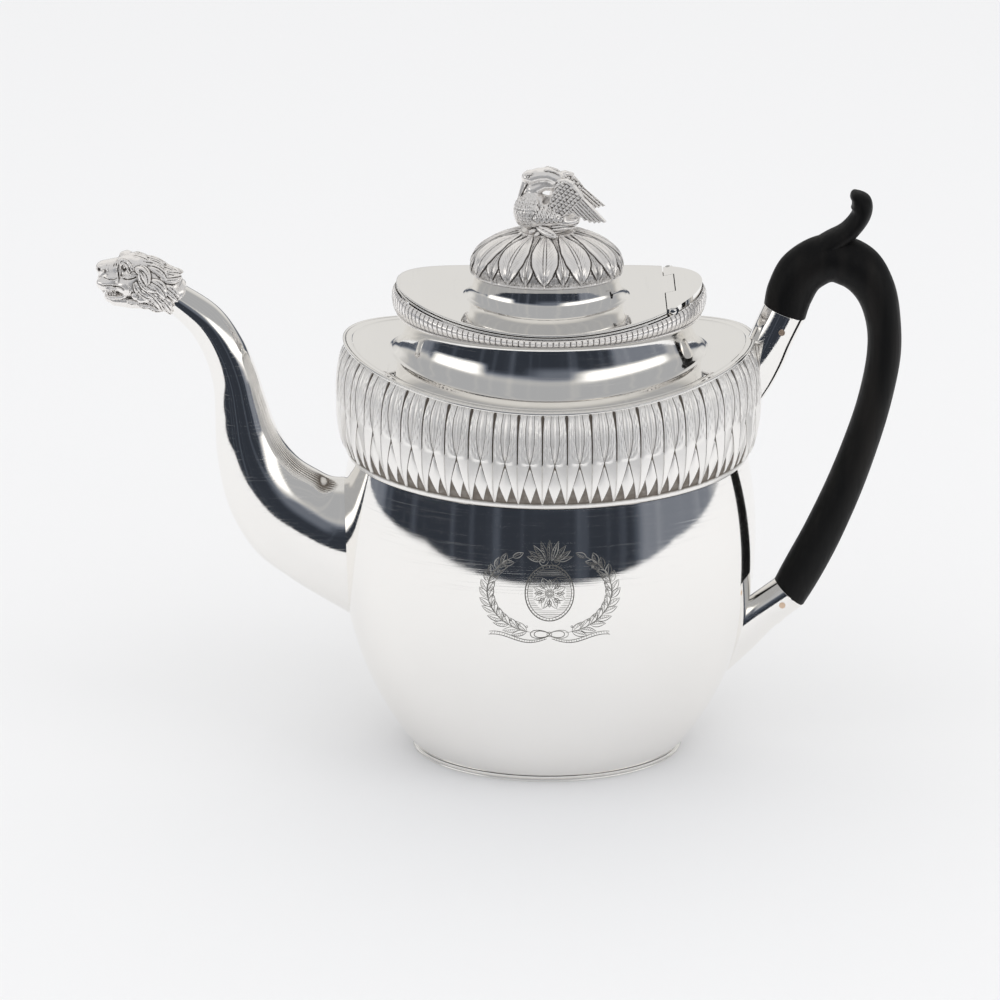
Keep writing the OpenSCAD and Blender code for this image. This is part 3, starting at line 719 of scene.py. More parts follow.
    def mesh(self, name, rub=2):
        """The surface as a mesh in metres, with how far each place stands out of the hollows."""
        grid = openvdb.FloatGrid(self.reach)
        grid.copyFromArray(self.field)
        grid.transform = openvdb.createLinearTransform(voxelSize=self.cell)
        points, quads = grid.convertToQuads()
        spread = self.field
        for _ in range(rub):
            for axis in range(3):
                spread = (np.roll(spread, 1, axis) + np.roll(spread, -1, axis) + spread) / 3
        cell = np.clip(np.rint(points / self.cell).astype(int), 0, np.array(spread.shape) - 1)
        stand = spread[tuple(cell.T)] - self.field[tuple(cell.T)]
        level_tone, contrast = 0.72, 9.0
        tones = np.clip(level_tone + stand * contrast, 0, 1)
        points = (points + self.low) * mm
        mesh = bpy.data.meshes.new(name)
        mesh.from_pydata(points.tolist(), [], quads.tolist())
        a, b, c, d = (points[quads[:, k]] for k in range(4))
        if np.einsum("ij,ij->", a, np.cross(b, c) + np.cross(c, d)) < 0:
            mesh.flip_normals()
        set_relief(mesh, tones)
        mesh.shade_smooth()
        return put_in_scene(name, mesh)


def set_relief(mesh, tones):
    """Give each point of a mesh how far it stands out: 0 in the recesses, 1 on the tops."""
    relief = mesh.attributes.new("relief", "FLOAT", "POINT")
    relief.data.foreach_set("value", np.asarray(tones, np.float32).ravel())


def polygon_distance(a, b, outline):
    """Distance from an outline in a plane, below 0 inside it."""
    least = np.full(a.shape, 1e9, np.float32)
    inside = np.zeros(a.shape, bool)
    for (a0, b0), (a1, b1) in zip(outline, outline[1:] + outline[:1]):
        da, db = a1 - a0, b1 - b0
        t = np.clip(((a - a0) * da + (b - b0) * db) / (da * da + db * db), 0, 1)
        least = np.minimum(least, (a - a0 - da * t) ** 2 + (b - b0 - db * t) ** 2)
        if b0 != b1:
            crosses = ((b0 > b) != (b1 > b)) & (a < a0 + da * (b - b0) / db)
            inside ^= crosses
    away = np.sqrt(least)
    return np.where(inside, -away, away)


def turned(long, outward):
    """Three directions of an egg: along it, beside it and outwards."""
    long = np.array(long, float) / np.linalg.norm(long)
    outward = np.array(outward, float)
    outward = outward - long * (outward @ long)
    outward /= np.linalg.norm(outward)
    return np.array([long, np.cross(outward, long), outward])


def fold(casting, line, side, beside, wide, thick, soft):
    """Add a roll of wax along points of x and z; beside gives its distance from the middle."""
    for a, b in zip(line, line[1:]):
        x, z = (a[0] + b[0]) / 2, (a[1] + b[1]) / 2
        long = (b[0] - a[0], 0, b[1] - a[1])
        casting.egg(
            (x, side * beside(x), z), (math.hypot(long[0], long[2]) * 0.66, wide, thick),
            turned(long, (0, side, 0)), soft=soft,
        )


lion = Casting((-173.0, -11.6, 178.5), (-138.0, 11.6, 207.0), 0.245)
# Skull, cheeks and the rounded collar that the spout enters. A limb's stations are x, z,
# radius and how wide it is for its height.
skull = [(-142.8, 188.6, 6.2, 1.0), (-146, 190.6, 7.4, 1), (-151, 192.8, 8.0, 0.95), (-156, 194.4, 7.4, 0.95)]
lion.limb(skull, soft=0.6)
lion.egg((-156.0, 0, 196.6), (6.8, 6.4, 7.0), soft=1.5)
lion.egg((-157.0, 0, 200.7), (5.2, 4.8, 3.5), soft=1.4)
for side in (-1, 1):
    lion.egg((-159.4, side * 4.4, 192.6), (5.0, 3.0, 4.2), soft=1.5)
# Muzzle: a flat nose pad on a straight bridge, smooth sides, whisker pads and an upper lip
lion.limb([(-159.0, 199.0, 4.2, 1.0), (-168.4, 198.2, 3.1, 1.2)], soft=1.2)
lion.egg((-165.4, 0, 194.8), (5.8, 5.0, 4.6), soft=1.2)
lion.egg((-169.5, 0, 198.4), (2.6, 3.4, 2.4), soft=0.4)
for side in (-1, 1):
    lion.egg((-167.6, side * 3.0, 193.2), (4.2, 2.5, 2.9), soft=0.6)
    # Curled nostril
    inwards = turned((-1, side * 0.8, -0.3), (0, side, 0.6))
    lion.egg((-170.5, side * 2.6, 198.6), (1.2, 0.8, 0.8), inwards, soft=0.15, cut=True)
    over = turned((-1, side * 0.2, 0), (0, side, 0.6))
    lion.egg((-169.7, side * 2.7, 199.6), (1.2, 0.5, 0.45), over, soft=0.25)
    lion.egg((-168.8, side * 3.4, 198.2), (0.55, 0.5, 1.5), turned((0, 0, 1), (0, side, 0)), soft=0.15)
lion.egg((-171.4, 0, 194.6), (1.2, 0.25, 2.6), soft=0.3, cut=True)
# Lower jaw, and the wedge of the open mouth
jaw = [
    (-152, 186.6, 4.6, 1.15), (-158.5, 186.2, 3.9, 1.3), (-164.6, 186.2, 2.9, 1.45),
    (-167.0, 187.0, 2.2, 1.6),
]
lion.limb(jaw, soft=0.8)
mouth_wedge = [
    (-176, 188.6), (-176, 190.7), (-171, 190.6), (-166.0, 190.8), (-162.8, 190.5), (-161.2, 189.8),
    (-162.8, 188.9), (-167, 188.6),
]
lion.slab(mouth_wedge, 0, 9, soft=0.25, cut=True, frame_at=((0, 0, 0), (1, 0, 0), (0, 0, 1)))
lips = [
    (-169.9, 191.3), (-168, 191.5), (-164.6, 191.6), (-162.0, 191.0), (-160.2, 189.8),
    (-160.2, 189.0), (-161.6, 188.2), (-164.0, 187.9), (-167.2, 188.1), (-168.4, 188.5),
]
# Teeth: place along the jaw and length, the fang first
upper_teeth = [(-169.2, 1.2), (-168.1, 0.8), (-167.1, 0.75), (-166.1, 0.7)]
lower_teeth = [(-167.6, 0.9), (-166.6, 0.7), (-165.6, 0.65), (-164.7, 0.6)]


def lip_beside(x):
    """Distance of the lip from the middle, less towards the nose."""
    return 4.9 - max(0.0, -166 - x) * 0.32


for side in (-1, 1):
    fold(lion, lips, side, lip_beside, 0.8, 0.7, 0.35)
    for teeth, gum, way, beside, spread, thick in (
        (upper_teeth, 190.7, -1, 2.9, 0.4, 0.52), (lower_teeth, 188.7, 1, 2.6, 0.5, 0.48),
    ):
        for k, (x, size) in enumerate(teeth):
            lion.egg(
                (x, side * (beside + spread * k), gum + way * size * 0.4), (size, thick, thick),
                turned((0, 0, way), (0, side, 0)), soft=0.12,
            )
throat = [(-142.0, 187.2, 3.6, 1), (-150.0, 188.4, 3.0, 1), (-163.2, 189.0, 1.6, 1.7)]
lion.limb(throat, soft=0.3, cut=True)
# Deep-set eyes under folded lids, a heavy brow with frown lines, and creases that part the
# whisker pads from the cheeks. A crease is a line of x and height, its half width, how high
# or deep it is, and whether it is cut in.
lid = [
    (-162.5, 194.9), (-162.3, 197.6), (-161.9, 199.0), (-160.8, 199.6), (-159.7, 198.6), (-159.0, 196.4),
    (-158.2, 194.7),
]
outer_lid = [(x + 0.85 * (0.25 + 0.3 * k), z + 0.7) for k, (x, z) in enumerate(lid[2:])]
creases = [
    (lid, 0.34, 0.62, False),
    (outer_lid, 0.3, 0.55, False),
    ([(-162.9, 199.8), (-161.6, 200.9), (-160.2, 200.8), (-158.9, 199.8), (-158.1, 198.2)], 0.42, 0.6, False),
    ([(-162.6, 194.6), (-161.4, 194.0), (-160.2, 194.4)], 0.3, 0.4, False),
]
for back, low in ((0.0, 201.2), (0.9, 201.4), (1.7, 201.4)):
    frown = [(-164.9 + back, low - 2.6), (-164.6 + back, low - 1.0), (-164.7 + back, low + 0.4)]
    creases.append((frown, 0.16, 0.5, True))
creases += [
    ([(-163.0, 199.6), (-163.3, 197.0), (-162.9, 194.0), (-163.0, 191.8)], 0.24, 0.36, True),
    ([(-166.9, 199.8), (-167.5, 197.6), (-167.2, 195.4)], 0.3, 0.4, False),
    ([(-168.9, 194.3), (-167.0, 193.4), (-165.0, 193.3), (-163.6, 193.8)], 0.14, 0.3, True),
    ([(-169.4, 190.9), (-167.4, 190.8), (-165.3, 190.7), (-162.6, 190.2), (-161.0, 189.2)], 0.2, 0.34, True),
    ([(-161.2, 193.6), (-159.4, 193.2), (-157.4, 193.6), (-156.2, 194.2)], 0.3, 0.3, True),
    ([(-158.6, 195.6), (-157.4, 196.4), (-156.0, 196.2)], 0.2, 0.45, True),
    ([(-159.6, 191.0), (-158.4, 189.4), (-158.6, 187.6)], 0.3, 0.45, False),
]
cheek_curl = [
    (-157.6, 190.2), (-155.8, 188.4), (-153.6, 187.6), (-151.6, 188.6), (-151.4, 190.6), (-153.0, 191.6),
    (-154.2, 190.4),
]
for side in (-1, 1):
    over_eye = turned((1, side * 0.3, -0.25), (0, side * 0.5, 1))
    lion.egg((-160.4, side * 3.4, 202.0), (2.9, 2.5, 1.9), over_eye, soft=1.3)
    place, outward = lion.on_side(-160.9, 198.1, side)
    eye = turned((0.25, 0, 1), outward)
    lion.egg(place + outward * 0.3, (1.9, 1.15, 1.3), eye, soft=0.35, cut=True)
    lion.egg(place - outward * 0.75, (1.15, 0.8, 0.85), eye, soft=0.08)
    pupil = place + outward * 0.1 + (-0.15, 0, 0.1)
    lion.egg(pupil, (0.5, 0.28, 0.5), turned((0, 0, 1), outward), soft=0.05, cut=True)
    for line, wide, high, cut in creases:
        lion.crease(line, side, wide, high, cut)
    # Ear laid back, and a curled lock under it
    laid_back = turned((1, 0, -0.6), (0, side, 0.5))
    lion.egg((-154.2, side * 6.3, 199.0), (2.7, 1.7, 1.6), laid_back, soft=0.2)
    lion.egg((-154.4, side * 7.6, 199.2), (1.7, 0.9, 0.7), laid_back, soft=0.15, cut=True)
    fold(lion, cheek_curl, side, lambda x: 7.3, 1.3, 0.75, 0.1)
    # Beard curls under the cheek
    for x, z, lean in ((-157.6, 186.2, 0.1), (-153.4, 184.8, 0.2), (-149.6, 183.6, 0.3)):
        lion.egg(
            (x, side * 5.4, z), (3.0, 1.3, 1.35), turned((1, 0, -lean), (0, side, -0.5)), soft=0.12,
            bend=-0.06, groove=0.35, groove_wide=0.22,
        )
# Mane: big leaf-shaped locks that sweep back and down, the lower layers first
locks = [
    # from x, z to x, z on the side of the head, half width, bow
    (-154.0, 189.0, -146.4, 183.4, 1.7, -0.03), (-150.4, 188.4, -143.2, 182.6, 1.6, -0.03),
    (-148.0, 190.6, -142.8, 184.6, 2.0, -0.05), (-145.6, 193.6, -140.2, 188.6, 2.1, -0.04),
    (-152.6, 192.6, -146.2, 185.6, 2.2, -0.05), (-157.4, 193.8, -151.6, 188.2, 1.9, 0.06),
    (-146.6, 195.6, -139.6, 194.6, 2.0, 0.05), (-148.4, 198.2, -140.8, 197.8, 2.1, 0.05),
    (-150.6, 196.2, -144.6, 190.6, 2.3, -0.06), (-155.8, 197.6, -149.6, 191.0, 2.2, 0.07),
    (-150.6, 200.4, -144.6, 196.0, 2.2, -0.06), (-156.2, 201.2, -150.4, 195.4, 2.1, -0.07),
    (-154.4, 203.0, -147.4, 199.6, 1.9, -0.05),
]
head_x, head_z, head_r = [-158, -150, -141], [194.8, 192.6, 187.8], [7.4, 8.4, 7.6]
for x0, z0, x1, z1, wide, bow in locks:
    for side in (-1, 1):
        spots = []
        for x, z in ((x0, z0), (x1, z1)):
            middle, radius = np.interp(x, head_x, head_z), np.interp(x, head_x, head_r)
            high = np.clip(z - middle, -radius * 0.97, radius * 0.97)
            spots.append(np.array([x, side * math.sqrt(radius ** 2 - high ** 2), middle + high]))
        place = (spots[0] + spots[1]) / 2
        long = spots[1] - spots[0]
        outward = np.array([0.1, place[1], place[2] - np.interp(place[0], head_x, head_z)])
        outward = outward / np.linalg.norm(outward)
        axes = turned(long + outward * 0.9, outward)
        length = np.linalg.norm(long) * 0.6
        lion.egg(
            place + outward * 0.35, (length, wide, 1.35), axes, soft=0.08, groove=0.5, bend=bow * side,
            groove_wide=0.26,
        )
        for hair in (-0.52, 0.52):
            lion.egg(
                place + axes[1] * hair * wide + axes[2] * 1.5, (length * 0.7, 0.16, 0.42), axes,
                soft=0.08, cut=True, bend=bow * side,
            )
# Low strands over the crown
for x, length in ((-154.0, 3.6), (-149.0, 3.8), (-144.4, 3.2)):
    top = np.interp(x, [-157, -154, -149, -144, -141], [202.4, 203.0, 201.4, 197.6, 194.8])
    for beside in (-2.2, 0, 2.2):
        lion.egg(
            (x, beside, top - 0.1 * beside * beside), (length, 1.2, 0.9),
            turned((1, 0, -0.45), (0, 0.25 * beside, 1)), soft=0.1, groove=0.3, groove_wide=0.2,
        )
lion_mask = lion.mesh("lion_mask")
finish(lion_mask, "pot", "chased_silver", chased, "lion_mask")

# ---- Leaf band -------------------------------------------------------------------------
# A convex band of cast and chased silver, soldered round the shoulder: a row of long pointed
# leaves, feathered above and faceted below, with a second row of tips between them.
band_leaves = 47
frosted = chased_silver(
    "frosted_silver", (0.95, 0.93, 0.90, 1), (0.20, 0.172, 0.145, 1), 0.32, 0.6, 0.02, 0.6
)
flange_z = 160.2
flange_dip = 10.2
flange_arc = flange_half ** 2 / (2 * flange_dip)
flange_t = 1.2
band_half = flange_half - 0.2
band_bulge = 4.5


def carrier(name, outline, level, count=900, middle=0.0, start=0.5 * np.pi - 0.036):
    """Smooth sheet that a tile row is laid on. UV across is the share of the way round by length,
    starting at the back, and UV up is the share of the outline. A point of the outline is
    (share, half length, half depth, rise)."""
    fine = start + np.linspace(0, 2 * np.pi, 8 * count + 1)
    half, depth = np.mean([point[1:3] for point in outline], 0)
    steps = np.hypot(np.diff(half * np.cos(fine)), np.diff(depth * np.sin(fine)))
    length = np.concatenate([[0], np.cumsum(steps)]) / steps.sum()
    turn = np.interp(np.linspace(0, 1, count + 1), length, fine)
    points = []
    for share, half, depth, rise in outline:
        x, y = middle + half * np.cos(turn), depth * np.sin(turn)
        points.append(np.stack([x, y, level(x, rise)], -1))
    mesh = bpy.data.meshes.new(name)
    across = count + 1
    faces = grid_faces(len(outline), across, False, False)
    mesh.from_pydata((np.concatenate(points) * mm).tolist(), [], faces.tolist())
    spread = mesh.uv_layers.new(name="Spread")
    corner = np.array([loop.vertex_index for loop in mesh.loops])
    shares = np.array([point[0] for point in outline])
    flat = np.stack([(corner % across) / count, shares[corner // across]], -1)
    spread.data.foreach_set("uv", flat.astype(np.float32).ravel())
    mesh.shade_smooth()
    return put_in_scene(name, mesh)


# Lays a row of one tile on a carrier. The tile's own X, Y and Z are its share of the row's
# pitch, its share up the carrier and its relief in metres.
row_tree, asked, given_back = new_group(
    "tile_row", "GeometryNodeTree",
    {"Tile": ("Geometry", None), "Carrier": ("Object", None), "Count": ("Int", 47),
     "Material": ("Material", None)},
    {"Geometry": ("Geometry", None)},
)
row_points = add(row_tree, "GeometryNodeMeshLine", {"Count": asked.outputs["Count"], "Offset": (1, 0, 0)})
row = add(
    row_tree, "GeometryNodeInstanceOnPoints",
    {"Points": row_points.outputs[0], "Instance": asked.outputs["Tile"]},
)
row = result(row_tree, "GeometryNodeRealizeInstances", {"Geometry": row.outputs[0]})
spot = add(row_tree, "ShaderNodeSeparateXYZ", {"Vector": result(row_tree, "GeometryNodeInputPosition")})
share = calculate(row_tree, "DIVIDE", spot.outputs[0], asked.outputs["Count"])
inside_edge = 1e-5
share = result(row_tree, "ShaderNodeClamp", {"Value": share, "Min": inside_edge, "Max": 1 - inside_edge})
height = result(
    row_tree, "ShaderNodeClamp", {"Value": spot.outputs[1], "Min": inside_edge, "Max": 1 - inside_edge}
)
where = result(row_tree, "ShaderNodeCombineXYZ", {"X": share, "Y": height})
sheet = add(row_tree, "GeometryNodeObjectInfo", {"Object": asked.outputs["Carrier"]}).outputs["Geometry"]
spread = add(row_tree, "GeometryNodeInputNamedAttribute", {"Name": "Spread"}, data_type="FLOAT_VECTOR")
on_sheet = []
for field in ("GeometryNodeInputPosition", "GeometryNodeInputNormal"):
    on_sheet.append(result(
        row_tree, "GeometryNodeSampleUVSurface",
        {"Mesh": sheet, "Value": result(row_tree, field), "UV Map": spread.outputs[0],
         "Sample UV": where},
        data_type="FLOAT_VECTOR",
    ))
raised = add(row_tree, "ShaderNodeVectorMath", {0: on_sheet[1], "Scale": spot.outputs[2]}, operation="SCALE")
place = add(row_tree, "ShaderNodeVectorMath", {0: on_sheet[0], 1: raised.outputs[0]})
row = result(row_tree, "GeometryNodeSetPosition", {"Geometry": row, "Position": place.outputs[0]})
row = result(row_tree, "GeometryNodeMergeByDistance", {"Geometry": row, "Distance": 2e-6})
give_back(row_tree, row, asked, given_back)


def tile_mesh(name, front, relief, wall_t, back_rows):
    """Tile closed front, top, back and bottom, and open at its two sides, which meet the next
    tile's. front is rows of (across, up, depth in mm) points; relief 0 is a dark recess, 1 a rise."""
    rows, columns = front.shape[:2]
    share = np.linspace(1, 0, back_rows)[:, None]
    back = np.stack([
        np.broadcast_to(np.where(share > 0.5, front[-1, :, 0], front[0, :, 0]), (back_rows, columns)),
        np.broadcast_to(share, (back_rows, columns)),
        np.full((back_rows, columns), -wall_t),
    ], -1)
    rings = np.concatenate([front, back])
    tones = np.concatenate([relief, np.full((back_rows, columns), 0.8)])
    points = rings.reshape(-1, 3).copy()
    points[:, 2] *= mm
    mesh = bpy.data.meshes.new(name)
    mesh.from_pydata(points.tolist(), [], grid_faces(len(rings), columns, True, False).tolist())
    set_relief(mesh, tones)
    return mesh


def clean_row(piece, sharp):
    """Face the row's mesh outwards and soften it up to an angle."""
    mesh = piece.data
    corners = np.empty(len(mesh.vertices) * 3, np.float32)
    mesh.vertices.foreach_get("co", corners)
    corners = corners.reshape(-1, 3)
    mesh.calc_loop_triangles()
    faces = np.empty(len(mesh.loop_triangles) * 3, np.int32)
    mesh.loop_triangles.foreach_get("vertices", faces)
    a, b, c = corners[faces.reshape(-1, 3)].transpose(1, 0, 2)
    if np.einsum("ij,ij->", a, np.cross(b, c)) < 0:
        mesh.flip_normals()
    soften(mesh, sharp)
    return piece


# One leaf of the band, mirrored about its middle. Shares run down from the top edge.
leaf_rows = 60
cross_at, dark_to, kite_wide_at, tip_at = 0.505, 0.545, 0.75, 0.945
step_in = 0.018
ground_deep, ground_tone = -1.05, 0.22


def band_tile():
    """Front of one leaf tile: points by row and column, and how far each stands out of the dark."""
    jitter = np.random.default_rng(11)
    down = np.linspace(0, 1, leaf_rows)
    edge = np.interp(
        down, [0, 0.12, 0.28, 0.42, cross_at, tip_at, 1],
        [0.16, 0.20, 0.19, 0.10, 0.014, 0.5 - step_in * 1.5, 0.5 - step_in * 1.5],
    )
    widest = float(np.interp(kite_wide_at, down, edge)) - step_in
    kite = np.interp(
        down, [cross_at, dark_to - 0.02, dark_to + 0.02, kite_wide_at, tip_at, 1],
        [0.002, 0.002, 0.03, widest, 0.002, 0.002],
    )
    kite = np.maximum(np.where(down < cross_at, edge - step_in, np.minimum(kite, edge - step_in)), 0.002)
    groove = np.interp(down, [0, 0.03, 0.1, 0.2, cross_at, 1], [0.03, 0.085, 0.055, 0.035, 0.028, 0.03])
    parts = np.array([0, 0.12, 0.26, 0.4, 0.55, 0.7, 0.85, 1.0])
    vein = np.array([0, 1, -1, 1, -1, 1, -1, 0]) * 0.07
    front, tones = [], []
    for s, e, k, g in zip(down, edge, kite, groove):
        upper = s < cross_at
        bare = cross_at <= s < dark_to or s >= tip_at
        fade = np.clip((s - dark_to) / 0.03, 0, 1) * np.clip((tip_at - s) / 0.02, 0, 1)
        wire = np.clip((s - 0.957) / 0.012, 0, 1)
        side = min((e - k) * 0.3, 0.010)
        across = [0, 0.35 * k, 0.7 * k, k, k + side, e - side]
        if upper:
            depth = [-0.28, -0.5, -0.42, -0.5, -0.8, -0.8]
            tone = [0.95, 0.55, 0.8, 0.5, 0.1, 0.1]
        else:
            depth = [ground_deep + (d - ground_deep) * fade for d in (-0.42, -0.48, -0.56, -0.66)]
            depth += [ground_deep] * 2
            tone = [0.16 + (t - 0.16) * fade for t in (0.95, 0.85, 0.9, 0.7)] + [ground_tone] * 2
            if bare:
                tone = [0.1] * 6
        main = e + (0.5 - g - e) * parts
        if upper:
            swell = np.sin(np.pi * (0.15 + 0.7 * parts)) ** 0.7
            window = np.clip(s / 0.06, 0, 1) * np.clip((cross_at - s) / 0.05, 0.15, 1)
            barb = np.sin(2 * np.pi * (9.5 * s + 1.6 * parts)) * np.sin(np.pi * parts) ** 0.5
            level = -0.42 + 0.34 * swell + (vein + 0.06 * barb) * window
            light = 0.80 + (vein * 2.2 + 0.2 * barb) * window
        else:
            level = -0.50 + 0.48 * parts
            light = 0.88 + 0.1 * parts
            ended = np.clip((tip_at + 0.004 - s) / 0.01, 0, 1)
            level = ground_deep + (level - ground_deep) * ended
            light = ground_tone + (light - ground_tone) * ended
        level = np.minimum(level + jitter.uniform(-0.012, 0.012, len(parts)), -0.01)
        across += list(main)
        depth += list(level)
        tone += list(light)
        across += [0.5 - g * 0.55, 0.5]
        depth += [-1.0, -1.05] if upper and s > 0.01 else [depth[-1] - 0.16, depth[-1] + 0.04]
        tone += [0.0, 0.0] if upper and s > 0.01 else [0.45 * tone[-1], tone[-1]]
        depth = [min(d + (-0.2 - d) * wire, -0.03) for d in depth]
        tone = [t + (0.92 - t) * wire for t in tone]
        half = np.stack([across, np.full(len(across), s), depth], -1)
        if upper:
            half[:, 1] += 0.012 * np.clip(s / 0.1, 0, 1) * np.clip((cross_at - s) / 0.1, 0, 1) * np.cos(
                np.pi * 2 * half[:, 0])
        other = half[-2::-1].copy()
        other[:, 0] = 1 - other[:, 0]
        front.append(np.concatenate([half, other]))
        tones.append(tone + tone[-2::-1])
    front = np.array(front)[::-1].copy()
    front[:, :, 1] = np.clip(1 - front[:, :, 1], 0, 1)
    front[0, :, 2] = front[-1, :, 2] = -0.3
    tones = np.array(tones)[::-1].copy()
    tones[0] = tones[-1] = 0.85
    return front, np.clip(tones, 0, 1)


def band_level(x, share):
    """Height over x between the band's lower and upper edges."""
    low = arc_height(band_z, edge_arc, x)
    high = arc_height(flange_z - flange_t, flange_arc + flange_t, x)
    return low * (1 - share) + high * share


band_outline = []
for share in np.linspace(0, 1, 41):
    half = band_half + band_bulge * (1 - abs(2 * share - 1) ** 3)
    band_outline.append((share, half, half * oval, share))
band_carrier = carrier("band_carrier", band_outline, band_level)
leaf_front, leaf_tone = band_tile()
leaf_tile = tile_mesh("leaf_tile", leaf_front, leaf_tone, wall, 6)
leaf_band = through_tree(
    "leaf_band", leaf_tile, row_tree, {"Carrier": band_carrier, "Count": band_leaves, "Material": frosted}
)
bpy.data.objects.remove(band_carrier)
finish(clean_row(leaf_band, 24), "pot", "chased_silver", frosted, "leaf_band")

# ---- Engraving -------------------------------------------------------------------------
# An emblem cut in the front of the body with a graver: two laurel sprays tied with a ribbon
# round an oval medallion with a rosette, and a palmette above. Each line is a thin V-shaped cut.
engraved = chased_silver(
    "engraved_silver", (0.50, 0.49, 0.46, 1), (0.13, 0.125, 0.115, 1), 0.35, 0.6, 0.01, 0.45
)
emblem_z = 88.6
cut_lift = 0.015
cuts, cut_tones = [], []
shades = np.random.default_rng(23)


def cut_line(points, half_wide=0.15, blunt=0.25):
    """Add one cut along points in the emblem's plane; it thins out to both its ends."""
    line = np.asarray(points, float)
    share = np.linspace(0, 1, len(line))
    along = np.gradient(line, axis=0)
    along /= np.maximum(np.hypot(*along.T), 1e-9)[:, None]
    side = np.stack([-along[:, 1], along[:, 0]], -1)
    wide = 1.3 * half_wide * (blunt + (1 - blunt) * np.sin(np.pi * share) ** 0.6)[:, None]
    flat = np.zeros((len(line), 1))
    cuts.append(np.stack([
        np.hstack([line + side * wide, flat]), np.hstack([line, flat - 0.6 * wide]),
        np.hstack([line - side * wide, flat]),
    ], 1))
    cut_tones.append(shades.uniform(0.0, 0.6))


def round_line(middle, sizes, start=0.0, end=360.0, steps=40, half_wide=0.15):
    """Add one oval cut, the same width all the way round."""
    turn = np.radians(np.linspace(start, end, steps))
    oval_line = np.stack([middle[0] + sizes[0] * np.cos(turn), middle[1] + sizes[1] * np.sin(turn)], -1)
    cut_line(oval_line, half_wide, 0.9)


def engraved_leaf(foot, heading, length, half_wide, hatches=5):
    """Outline, midrib and hatching of one leaf."""
    ahead = np.array([math.cos(heading), math.sin(heading)])
    beside = np.array([-ahead[1], ahead[0]])
    t = np.linspace(0, 1, 9)[:, None]
    for way in (-1, 1):
        cut_line(foot + ahead * length * t + beside * way * half_wide * np.sin(np.pi * t ** 0.85), 0.12)
    cut_line(foot + ahead * length * t[:8], 0.09)
    for k in range(hatches):
        share = 0.22 + 0.6 * k / max(hatches - 1, 1)
        reach_out = half_wide * math.sin(math.pi * min(share + 0.12, 1) ** 0.85) * 0.9
        start = foot + ahead * length * share
        cut_line([start, start + ahead * length * 0.06 + beside * reach_out * 0.5,
                  start + ahead * length * 0.12 + beside * reach_out], 0.075)


# The two sprays, leaf by leaf along a bent stem, with berries between the leaves
for way in (-1, 1):
    turns = np.radians(np.linspace(-84, 62, 60))
    stem = np.stack([way * (4 + 19.5 * np.cos(turns)), -0.5 + 16.5 * np.sin(turns)], -1)
    cut_line(stem, 0.16)
    for k in range(12):
        at = int(3 + 4.5 * k)
        ahead = stem[at + 1] - stem[at]
        heading = math.atan2(ahead[1], ahead[0])
        size = 6.3 - 0.15 * k
        for lean in (-0.55, 0.5):
            engraved_leaf(stem[at], heading + lean, size, 1.2, 6)
        berry = stem[at] + np.array([math.cos(heading + way * 1.35), math.sin(heading + way * 1.35)]) * 2.1
        round_line(berry, (0.38, 0.38), steps=9, half_wide=0.1)
    engraved_leaf(stem[-2], math.atan2(*(stem[-1] - stem[-2])[::-1]), 4.6, 1.0, 5)
# Ribbon bow and its two tails
for way in (-1, 1):
    for grow in (1.0, 0.8):
        turns = np.radians(np.linspace(0, 360, 26))
        out, up = 3.6 - 3.6 * np.cos(turns), 1.7 * np.sin(turns) * (1 - 0.25 * np.cos(turns))
        loop = np.stack([out, up], -1) * grow
        cut_line(loop * (way, 1) + (0, -17.6), 0.12, 0.9)
    t = np.linspace(0, 1, 24)
    for beside in (0.0, 1.5):
        cut_line(np.stack([
            way * (0.6 + 22 * t + beside * 0.2), -18.6 - 1.6 * np.sin(t * 5.2) - beside * (0.6 + 0.3 * t)
        ], -1), 0.13, 0.6)
    for k in range(22):
        share = 0.05 + 0.9 * k / 21
        foot = np.array([way * (0.6 + 22 * share), -18.6 - 1.6 * math.sin(share * 5.2)])
        cut_line([foot, foot + (way * 0.15, -0.5), foot + (way * 0.3, -1.1)], 0.07)
    cut_line([(way * 22.9, -17.2), (way * 21.9, -17.9), (way * 23.1, -18.9)], 0.1)
round_line((0, -17.6), (0.9, 1.0), steps=16, half_wide=0.13)
# Oval medallion with a rosette on a ground of level lines
for size, broad in ((1.0, 0.17), (0.9, 0.11)):
    round_line((0, -0.5), (9.2 * size, 11.4 * size), half_wide=broad, steps=64)
for k in range(44):
    turn = 2 * math.pi * k / 44
    ray = np.array([math.cos(turn), math.sin(turn)])
    cut_line([(0, -0.5) + ray * (9.2, 11.4) * part for part in (0.915, 0.95, 0.985)], 0.1)
for k in range(-13, 14):
    level = 0.72 * k
    half_line = 8.1 * math.sqrt(max(1 - (level / 10.1) ** 2, 0))
    clear = 6.2 * math.sqrt(max(1 - (level / 7.2) ** 2, 0))
    if clear < 0.8:
        cut_line([(u, level - 0.5) for u in np.linspace(-half_line, half_line, 7)], 0.075, 0.7)
    elif half_line > clear + 0.4:
        for way in (-1, 1):
            cut_line([(way * u, level - 0.5) for u in np.linspace(clear, half_line, 4)], 0.075, 0.7)
for k in range(8):
    turn = math.pi / 4 * k + math.pi / 8
    stretch = 1 + 0.16 * abs(math.sin(turn))
    foot = np.array([math.cos(turn) * 1.5, -0.5 + math.sin(turn) * 1.5])
    engraved_leaf(foot, turn, 4.7 * stretch, 1.5, 6)
    short = turn + math.pi / 8
    engraved_leaf(np.array([math.cos(short) * 2.6, -0.5 + math.sin(short) * 2.6]), short, 3.2, 0.7, 3)
for size in (1.5, 1.0, 0.5):
    round_line((0, -0.5), (size, size), steps=20, half_wide=0.13)
